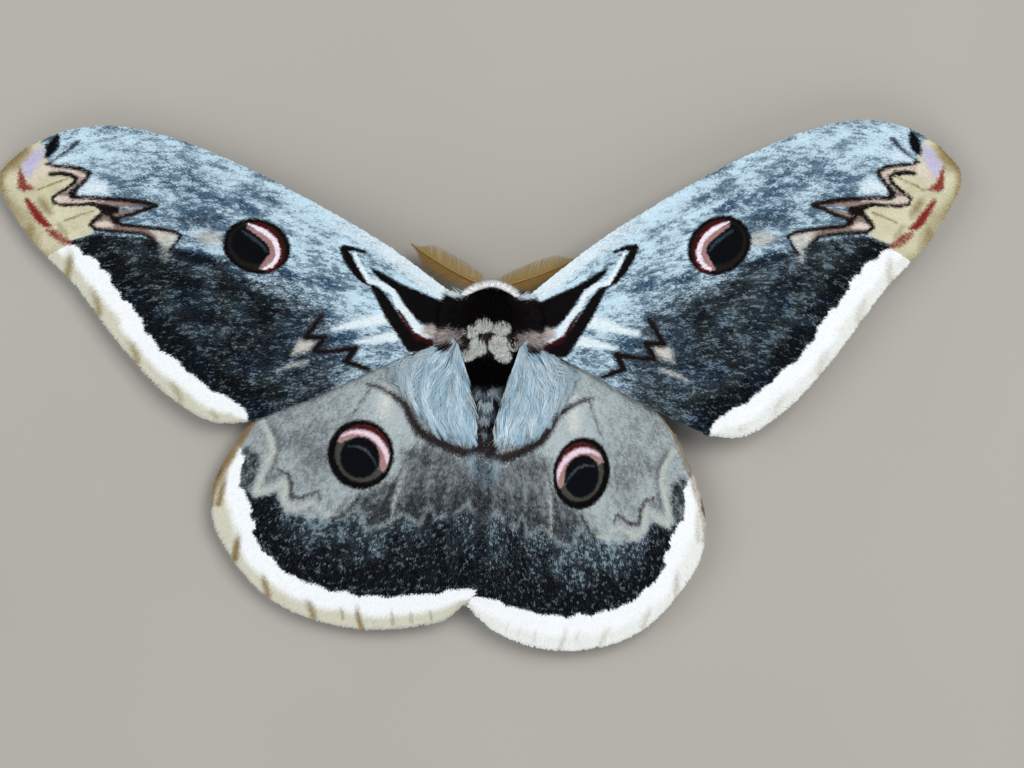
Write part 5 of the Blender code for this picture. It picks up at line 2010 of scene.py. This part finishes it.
    def dress_head(self, points: Array, normals: Array, finish: bpy.types.Material) -> None:
        """Short dense hair that falls down the face and lies back on the sides."""
        rng = np.random.default_rng(Seed.HEAD)
        count = len(points)
        face = smooth_step((points[:, 1] - 5.6) / 1.2)[:, None]
        lie = np.array((0.0, -1.0, -0.3)) * (1 - face) + np.array((0.0, 0.15, -1.0)) * face
        ahead = lay_down(lie, normals, 0.12, rng)
        grey = noise(points[:, 0] * 1.6 + 9.0, points[:, 2] * 1.6, Seed.HEAD_GREY)
        pick = (rng.random(count) < 0.35 + 0.4 * grey)[:, None]
        colour = np.where(pick, linear("#8C7C6C"), linear("#4A3A30")) * rng.uniform(0.8, 1.15, (count, 1))
        coat = self.grow(
            points, ahead, normals, rng.uniform(0.55, 0.85, count), rng.uniform(0.07, 0.12, count), colour,
            rng.uniform(0.3, 0.55, count), curl=0.12, root_shade=0.6,
        )
        coat.place("head_hair", finish, "thorax_fur")

    def colour_skin(self, skin: bpy.types.Object, finish: bpy.types.Material) -> None:
        """Gives the skin the coat's own markings, darkened as painted shade under the coat."""
        places = (vertex_places(skin) - np.array(self.origin)) / MM
        normals = np.zeros(len(places) * 3, np.float32)
        skin.data.vertices.foreach_get("normal", normals)
        normals = normals.reshape(-1, 3).astype(float)
        colours = self.paint(places, normals, None, Seed.SKIN_COLOUR) * 0.7
        colours[self.on_head(places)] = linear("#52443A")
        colours[self.near_leg(places)] = linear("#3B2E28")
        set_colours(skin, colours)
        skin.data.materials.append(finish)

    def dress_legs(self, finish: bpy.types.Material, per_leg: int = 1500) -> None:
        """Short hair that lies along each leg, shortest on the foot."""
        rng = np.random.default_rng(Seed.LEGS)
        names = ("root", "ahead", "up", "length", "colour", "place")
        columns: dict[str, list[Array]] = {name: [] for name in names}
        line_count = 60
        steps = np.linspace(0.0, 1.0, line_count)
        for index, (plan, side) in enumerate((p, s) for p in LEG_PLANS for s in Side):
            line = self.leg_line(plan, side, line_count)
            tangent = unit(np.gradient(line, axis=0))
            flat = unit(np.cross(tangent, UP))
            rise = np.cross(flat, tangent)
            share = 0.1 + 0.88 * (np.arange(per_leg) + rng.random(per_leg)) / per_leg
            at = np.minimum((share * (line_count - 1)).astype(int), line_count - 1)
            angle = rng.uniform(0, 2 * np.pi, per_leg)
            up = flat[at] * np.cos(angle)[:, None] + rise[at] * np.sin(angle)[:, None]
            radius = np.interp(share, steps, self.leg_radii(line_count))
            middle = np.stack([np.interp(share, steps, places) for places in line.T], 1)
            root = middle + up * radius[:, None] * 0.95
            keep = root[:, 2] > 0.16 * MM
            pale = (rng.random(per_leg) < 0.3 + 0.25 * np.sin(share * 21.0))[:, None]
            colour = np.where(pale, linear("#8F7E6C"), linear("#3A2A22"))
            colour = colour * rng.uniform(0.8, 1.2, (per_leg, 1))
            length = np.interp(share, (0.0, 0.3, 0.65, 1.0), (1.3, 1.2, 0.7, 0.4))
            length = length * rng.uniform(0.8, 1.2, per_leg)
            place = np.stack([(index + 0.1 + 0.8 * angle / (2 * np.pi)) / 6.0, share], 1)
            for name, values in zip(columns, (root, tangent[at], up, length * MM, colour, place)):
                columns[name].append(values[keep])
        joined = {name: np.concatenate(values) for name, values in columns.items()}
        count = len(joined["root"])
        Tufts(
            BRISTLE, joined["root"], joined["ahead"], joined["up"], joined["length"],
            rng.uniform(0.09, 0.15, count) * MM, joined["colour"], joined["place"],
            lift=rng.uniform(0.1, 0.3, count), curl=0.05, root_shade=0.7,
        ).place("leg_hair", finish, "leg_fur")


@dataclass
class Mantle:
    """The long pale hair that flows from the flanks over the roots of the hindwings."""

    origin: Vector
    side: Side
    strands: int = 6800
    locks: int = 260

    FLOW = (
        ((4.5, -2.6), (3.5, -6.8), (2.2, -11.8), (0.9, -18.0)),
        ((4.6, -2.4), (4.9, -7.2), (4.5, -12.4), (3.3, -17.9)),
        ((4.9, -2.1), (6.9, -6.6), (7.8, -11.4), (6.6, -16.9)),
        ((5.2, -1.7), (9.0, -5.3), (10.9, -9.4), (10.4, -14.2)),
        ((5.6, -1.3), (10.0, -3.5), (13.2, -6.0), (15.0, -9.4)),
    )

    def flow(self, q: Array, t: Array) -> Array:
        """The plan of the hair's flow.

        Args:
            q: From 0 at the midline to 1 at the outermost line.
            t: Shares of the way along the line.

        Returns:
            Points on the left side, in millimetres.
        """
        lines = np.array([EdgeCurve(line).at(np.linspace(0, 1, 41)) for line in self.FLOW])
        q = q * (len(lines) - 1)
        t = np.clip(t, 0.0, 1.0) * 40
        i, j = np.clip(q.astype(int), 0, len(lines) - 2), np.minimum(t.astype(int), 39)
        fq, ft = (q - i)[..., None], (t - j)[..., None]
        near = lines[i, j] * (1 - ft) + lines[i, j + 1] * ft
        far = lines[i + 1, j] * (1 - ft) + lines[i + 1, j + 1] * ft
        return near * (1 - fq) + far * fq

    def height(self, x: Array, y: Array) -> Array:
        """The height of whatever the hair rests on: the thorax, or else the wing."""
        sheet = sheet_height(self.side, x, y) + HIND_PLAN.level + 0.25
        return np.maximum(THORAX.inset(0.75).top(x, y), sheet)

    def make(self, finish: bpy.types.Material) -> None:
        """Grows the strands in locks."""
        rng = np.random.default_rng(Seed.MANTLE + self.side.value)
        shape = Shape(((0.0, 0.5), (0.3, 1.0), (0.6, 0.8), (0.85, 0.5), (1.0, 0.0)), sides=3)
        along = shape.along
        count = self.strands
        lock = rng.integers(0, self.locks, count)
        lock_q = rng.random(self.locks)[lock]
        q = lock_q + rng.normal(0.0, 0.03, count)
        reach = rng.uniform(0.2, 0.34, count)
        limit = (0.86 + 0.14 * rng.random(self.locks))[lock] + rng.normal(0.0, 0.02, count)
        start = np.maximum((1.05 * rng.random(self.locks) - 0.19)[lock] + rng.normal(0.0, 0.04, count), 0.0)
        start = np.minimum(start, limit - reach - 0.05 * smooth_step((q - 0.6) / 0.4))
        t = start[:, None] + reach[:, None] * along[None]
        waves = (2.0 + 4.0 * rng.random(self.locks))[lock][:, None]
        swirl = 0.09 * np.sin(2 * np.pi * rng.random(self.locks)[lock][:, None] + waves * along[None])
        gather = (lock_q - q)[:, None] * 0.8 * along[None] ** 2
        plan = self.flow(q[:, None] + swirl * along[None] + gather, t)
        held = HIND_PLAN.hold(self.side)
        x, y = Hold(held.across, 0.0, held.along).place(self.side, plan[..., 0], plan[..., 1])
        level = np.clip(rng.random(self.locks)[lock] * 0.8 + rng.uniform(0.0, 0.35, count), 0.15, 1.1)
        layer = level[:, None] * (0.45 + 0.8 * np.sin(np.pi * (0.15 + 0.8 * along)))[None]
        z = self.height(x, y) + layer * np.interp(t, (0.0, 0.75, 1.0), (1.0, 0.8, 0.4))
        spines = to_frame(np.stack([self.side.value * x, y, z], -1), self.origin)
        tone = rng.random(self.locks)[lock] * 0.7 + 0.3 * rng.random(count)
        # Lower strands are painted darker and upper ones lighter: painted shade and light within the hair.
        shade = np.interp(layer[:, 0], (0.1, 0.9), (0.86, 1.08))[:, None]
        dark, pale = linear("#9ACAE3"), linear("#EEFAFF")
        colour = (dark + (pale - dark) * tone[:, None] ** 0.8) * shade
        outer = 0.5 * smooth_step((q - 0.7) / 0.3)[:, None]
        colour = colour * (1 - outer) + linear("#C3CFD2") * outer
        up = np.tile(UP, (count, 1))
        Coat(
            shape, spines, up, rng.uniform(0.09, 0.15, count) * MM, colour,
            np.stack([0.06 + 0.88 * q, 0.02 + 0.96 * start], 1), root_shade=0.78,
        ).place(f"mantle_hair_{self.side.name.lower()}", finish, "thorax_fur")


@dataclass
class Shoulder:
    """Hair of the thorax's edge that lies over the root of a forewing and hides the joint."""

    origin: Vector
    side: Side
    strands: int = 2600

    def make(self, finish: bpy.types.Material) -> None:
        """Grows velvet, white or rose strands by where their tips lie."""
        rng = np.random.default_rng(Seed.SHOULDER + self.side.value)
        count = self.strands
        along = LOCK.along
        y = rng.uniform(-2.4, 4.9, count)
        x = rng.uniform(3.2, 6.2, count) - 1.2 * smooth_step((y - 2.5) / 2.7)
        turn = np.radians(np.interp(y, (-2.4, 0.0, 3.0, 5.2), (-28.0, -16.0, -6.0, 16.0)))
        turn = turn + rng.normal(0.0, 0.2, count)
        length = rng.uniform(1.3, 2.6, count)
        px = x[:, None] + (length * np.cos(turn))[:, None] * along[None]
        py = y[:, None] + (length * np.sin(turn))[:, None] * along[None]
        sheet = sheet_height(self.side, px, py) + FORE_PLAN.level + 0.3
        lift = rng.uniform(0.1, 0.5, count)[:, None] * (1 - along[None])
        z = np.maximum(THORAX.inset(0.75).top(px, py), sheet) + lift
        spines = to_frame(np.stack([self.side.value * px, py, z], -1), self.origin)
        powder = Powder(px[:, 2], py[:, 2], np.zeros(count), np.zeros(count), rng.random(count))
        powder.lay(np.ones(count), VELVET)
        lay_marks(
            powder,
            Patch(((5.0, 5.0), (6.4, 4.8), (8.5, 5.8), (9.0, 9.0), (4.0, 9.0)), SNOW, 0.25),
            Patch(((5.2, -0.9), (10.5, 0.4), (11.0, -0.8), (8.0, -2.3), (5.0, -3.6)), PALE_ROSE, 0.5),
        )
        up = np.tile(UP, (count, 1))
        Coat(
            LOCK, spines, up, rng.uniform(0.14, 0.2, count) * MM, powder.colours(rng),
            np.stack([x / 7.0, (y + 3.0) / 9.0], 1), root_shade=0.7,
        ).place(f"shoulder_hair_{self.side.name.lower()}", finish, "thorax_fur")


@dataclass
class Collar:
    """The white fringe that arches round the front of the thorax from wing to wing."""

    origin: Vector
    strands: int = 4600

    ARC = (
        (7.2, 4.5), (6.0, 4.2), (4.9, 4.3), (3.3, 5.1), (1.8, 5.9), (-0.2, 6.4), (-2.4, 5.7),
        (-4.4, 4.4), (-5.8, 3.8), (-7.2, 4.0),
    )

    def make(self, finish: bpy.types.Material) -> None:
        """Grows the strands outwards from the arc, highest over its middle."""
        rng = np.random.default_rng(Seed.COLLAR)
        count = self.strands
        along = LOCK.along
        arc = EdgeCurve(self.ARC)
        share = rng.random(count)
        tangent = unit(arc.at(np.minimum(share + 0.01, 1.0)) - arc.at(np.maximum(share - 0.01, 0.0)))
        outward = np.stack([tangent[:, 1], -tangent[:, 0]], 1)
        outward = outward * np.sign(outward[:, 1:2])
        sideways = (2.4 * share - 1.2)[:, None]
        yaw = rng.normal(0.0, 0.12, (count, 1))
        outward = unit(outward * (1.0 - 0.62 * np.abs(sideways)) + tangent * (sideways + yaw))
        depth = rng.random(count)
        root = arc.at(share) - outward * (0.25 * depth)[:, None]
        length = rng.uniform(0.8, 1.3, count) + 0.5 * np.abs(sideways[:, 0])
        plan = root[:, None] + outward[:, None] * (length[:, None] * along)[..., None]
        ridge = 10.0 + 1.0 * np.cos(0.5 * np.pi * np.clip(np.abs(root[:, 0]) / 5.6, 0.0, 1.0))
        ridge -= 1.2 * smooth_step((np.abs(sideways[:, 0]) - 0.85) / 0.35)
        fall = 2.3 - 2.0 * smooth_step((np.abs(root[:, 0]) - 3.8) / 1.8)
        z = (ridge - fall * depth)[:, None] + (0.35 * along - 0.75 * along**2)[None] * length[:, None]
        spines = to_frame(np.stack([-plan[..., 0], plan[..., 1], z], -1), self.origin)
        # Strands rooted deeper are painted a bluer white: painted shade under the strands above.
        low, high = linear("#B9D6E6"), linear("#FFFFFF")
        colour = low + (high - low) * (1.0 - 0.75 * depth * rng.random(count))[:, None]
        up = np.tile(UP, (count, 1))
        Coat(
            LOCK, spines, up, rng.uniform(0.1, 0.16, count) * MM, colour,
            np.stack([0.02 + 0.96 * share, 0.2 + 0.6 * depth], 1), root_shade=1.0,
        ).place("collar_fringe", finish, "thorax_fur")


@dataclass
class Antenna:
    """A feathered antenna: a tapered stem with a comb of fine barbs on both sides."""

    origin: Vector
    side: Side
    pairs: int = 112
    length: float = 14.3
    sunk: float = 1.2
    root_share: float = 0.072
    lean_deg: float = 62.0

    SWEEP = {Side.LEFT: 27.2, Side.RIGHT: 22.0}
    SOCKET = (1.0, 1.5, 1.5)
    RISE = -1.1

    def frame_at(self, share: Array) -> tuple[Array, Array, Array]:
        """The stem's places in metres, its direction, and the direction across it."""
        sweep = math.radians(self.SWEEP[self.side])
        out = self.side.value * math.cos(sweep)
        ahead = unit(np.array((out, math.sin(sweep), self.RISE / self.length)))
        across = unit(np.cross(UP, ahead))
        toward = np.array((self.side.value * self.SOCKET[0], self.SOCKET[1], self.SOCKET[2]))
        total = (np.abs(toward / np.array(HEAD.half)) ** HEAD.roundness).sum() ** (1.0 / HEAD.roundness)
        base = np.array(HEAD.centre) + toward / total - ahead * self.sunk
        bow = across * (self.side.value * -0.45) * np.sin(np.pi * share)[:, None]
        return to_frame(base + ahead * self.length * share[:, None] + bow, self.origin), ahead, across

    def make(self, finish: bpy.types.Material) -> None:
        """Makes the stem and the comb."""
        share = np.linspace(self.root_share, 0.985, 24)
        line, _, _ = self.frame_at(share)
        stem = make_tube(f"antenna_stem_{self.side.name.lower()}", line, (0.34 - 0.22 * share) * MM, 2)
        set_colours(stem, np.tile(linear("#94773F"), (len(stem.data.vertices), 1)))
        stem.data.materials.append(finish)
        activate(stem)
        bpy.ops.object.shade_smooth()
        place_piece(stem, "antennae", f"antenna_{self.side.name.lower()}")
        self.make_comb(finish)

    def make_comb(self, finish: bpy.types.Material) -> None:
        """The barbs, longest in the middle and curved to the tip."""
        rng = np.random.default_rng(Seed.ANTENNA + self.side.value)
        shape = Shape(((0.0, 1.0), (0.35, 0.9), (0.7, 0.75), (1.0, 0.3)), sides=3)
        along = shape.along
        share = np.repeat(0.1 + 0.87 * np.arange(self.pairs) / (self.pairs - 1), 2)
        way = np.tile((1.0, -1.0), self.pairs)
        root, ahead, across = self.frame_at(share)
        length = 2.42 * np.sin(np.pi * (0.12 + 0.8 * share)) ** 0.8 * MM
        length = length * (0.12 + 0.88 * smooth_step((1.0 - share) / 0.35))
        lean = np.radians(self.lean_deg + rng.normal(0.0, 1.2, len(share)))
        out = ahead[None] * np.cos(lean)[:, None] + across[None] * (way * np.sin(lean))[:, None]
        spines = root[:, None] + out[:, None] * (length[:, None] * along)[..., None]
        spines += ahead * (0.1 * length[:, None] * along**2)[..., None]
        spines[..., 2] -= 0.12 * length[:, None] * along**2
        # The front barbs are painted lighter, as light showing through them; the rear ones are a richer
        # ochre.
        front = way * self.side.value > 0
        colour = np.where(front[:, None], linear("#A68C55"), linear("#9C7835"))
        colour = colour * rng.uniform(0.85, 1.1, (len(share), 1))
        up = np.tile(UP, (len(share), 1))
        Coat(
            shape, spines, up, np.full(len(share), 0.13 * MM), colour,
            np.stack([0.5 + 0.4 * way, 0.02 + 0.96 * share], 1), root_shade=1.1,
        ).place(f"antenna_comb_{self.side.name.lower()}", finish, "antennae")


def make_eye(origin: Vector, side: Side, finish: bpy.types.Material) -> None:
    """A round compound eye on one side of the head."""
    centre = np.array(EYE_CENTRE) * (side.value, 1.0, 1.0)
    deselect()
    bpy.ops.mesh.primitive_uv_sphere_add(
        segments=40, ring_count=24, radius=EYE_RADIUS * MM, location=to_frame(centre, origin)
    )
    eye = bpy.context.object
    eye.name = f"eye_ball_{side.name.lower()}"
    bake_place(eye)
    bpy.ops.object.shade_smooth()
    eye.data.materials.append(finish)
    place_piece(eye, "eyes", f"eye_{side.name.lower()}")


def make_claws(body: Body, finish: bpy.types.Material) -> None:
    """Two small hooked claws at the end of each of the body's feet."""
    parts = []
    for plan in LEG_PLANS:
        for side in Side:
            line = body.leg_line(plan, side, 30)
            toe = line[-1]
            share = np.linspace(0.0, 1.0, 6)
            ahead = unit(toe - line[-3])
            aside = np.cross(ahead, UP)
            for way in (-1.0, 1.0):
                hook = toe - ahead * 0.2 * MM + aside * (way * 0.14 * MM)
                points = hook + (ahead + aside * way * 0.5) * (share * 0.75 * MM)[:, None]
                points[:, 2] += (0.25 * share - 0.5 * share**2) * MM
                parts.append(make_tube("claw", points, (0.12 - 0.09 * share) * MM, 1))
    claws = join(parts, "claws")
    claws.data.materials.append(finish)
    bpy.ops.object.shade_smooth()
    place_piece(claws, "leg_fur")


@dataclass
class Studio:
    """The floor, the soft lights and the camera."""

    origin: Vector
    floor_size: float = 3.0
    camera_height: float = 0.43
    view_width: float = 0.1536
    aim: tuple[float, float] = (3.63, -7.96)
    roll_deg: float = 2.33

    def make(self) -> None:
        """Sets all of it up."""
        self.make_floor()
        self.make_lights()
        self.make_camera()

    def make_floor(self) -> None:
        """A plain pale board that the moth stands on."""
        deselect()
        bpy.ops.mesh.primitive_plane_add(size=self.floor_size, location=(0.0, 0.0, 0.0))
        floor = bpy.context.object
        floor.name = "floor"
        floor.data.materials.append(BOARD.make())

    def make_lights(self) -> None:
        """A large soft light from the upper right, weaker ones from left and tail, and a pale sky."""
        for name, place, size, power in (
            ("key", (0.35, 0.3, 0.75), 0.5, 4.7),
            ("fill", (-0.5, 0.1, 0.7), 0.6, 2.2),
            ("rear", (0.0, -0.6, 0.5), 0.6, 1.4),
        ):
            deselect()
            bpy.ops.object.light_add(type="AREA", location=place)
            light = bpy.context.object
            light.name = name
            light.data.size = size
            light.data.energy = power
            light.rotation_mode = "QUATERNION"
            light.rotation_quaternion = (-Vector(place)).to_track_quat("-Z", "Y")
        world = bpy.data.worlds.new("studio")
        world.use_nodes = True
        background = world.node_tree.nodes["Background"]
        background.inputs["Color"].default_value = (*linear("#E4ECF4"), 1.0)
        background.inputs["Strength"].default_value = 0.3
        bpy.context.scene.world = world
        bpy.context.scene.view_settings.view_transform = "Standard"

    def make_camera(self) -> None:
        """Looks straight down on the moth, turned a little, as the photograph does."""
        deselect()
        place = (
            self.origin.x + self.aim[0] * MM, self.origin.y + self.aim[1] * MM, self.camera_height
        )
        bpy.ops.object.camera_add(location=place, rotation=(0.0, 0.0, math.radians(self.roll_deg)))
        camera = bpy.context.object
        camera.data.sensor_width = 36.0
        camera.data.lens = 36.0 * (self.camera_height - 0.007) / self.view_width
        camera.data.clip_start = 0.01
        camera.data.clip_end = 20.0
        bpy.context.scene.camera = camera


def main() -> None:
    """Builds the moth piece by piece."""
    logging.basicConfig(level=logging.INFO, format="%(name)s %(message)s")
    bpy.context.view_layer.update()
    low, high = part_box("thorax")
    origin = Vector(((low.x + high.x) / 2, low.y - WAIST_Y * MM, 0.0))
    scales = WING_SCALES.make()
    for side in Side:
        Wing(FORE_PLAN, side, origin, ForewingPattern(side)).make(scales)
        Wing(HIND_PLAN, side, origin, HindwingPattern(side), upper_scales=76000).make(scales)
    body = Body(origin)
    body.make(VELVET_HAIR.make(), LEG_HAIR.make())
    silk, antenna_chitin, cornea = SILKY_HAIR.make(), ANTENNA_CHITIN.make(), EyeFinish().make()
    Collar(origin).make(silk)
    for side in Side:
        Mantle(origin, side).make(silk)
        Shoulder(origin, side).make(silk)
        Antenna(origin, side).make(antenna_chitin)
        make_eye(origin, side, cornea)
    make_claws(body, CLAW_HORN.make())
    Studio(origin).make()


if __name__ == "__main__":
    main()
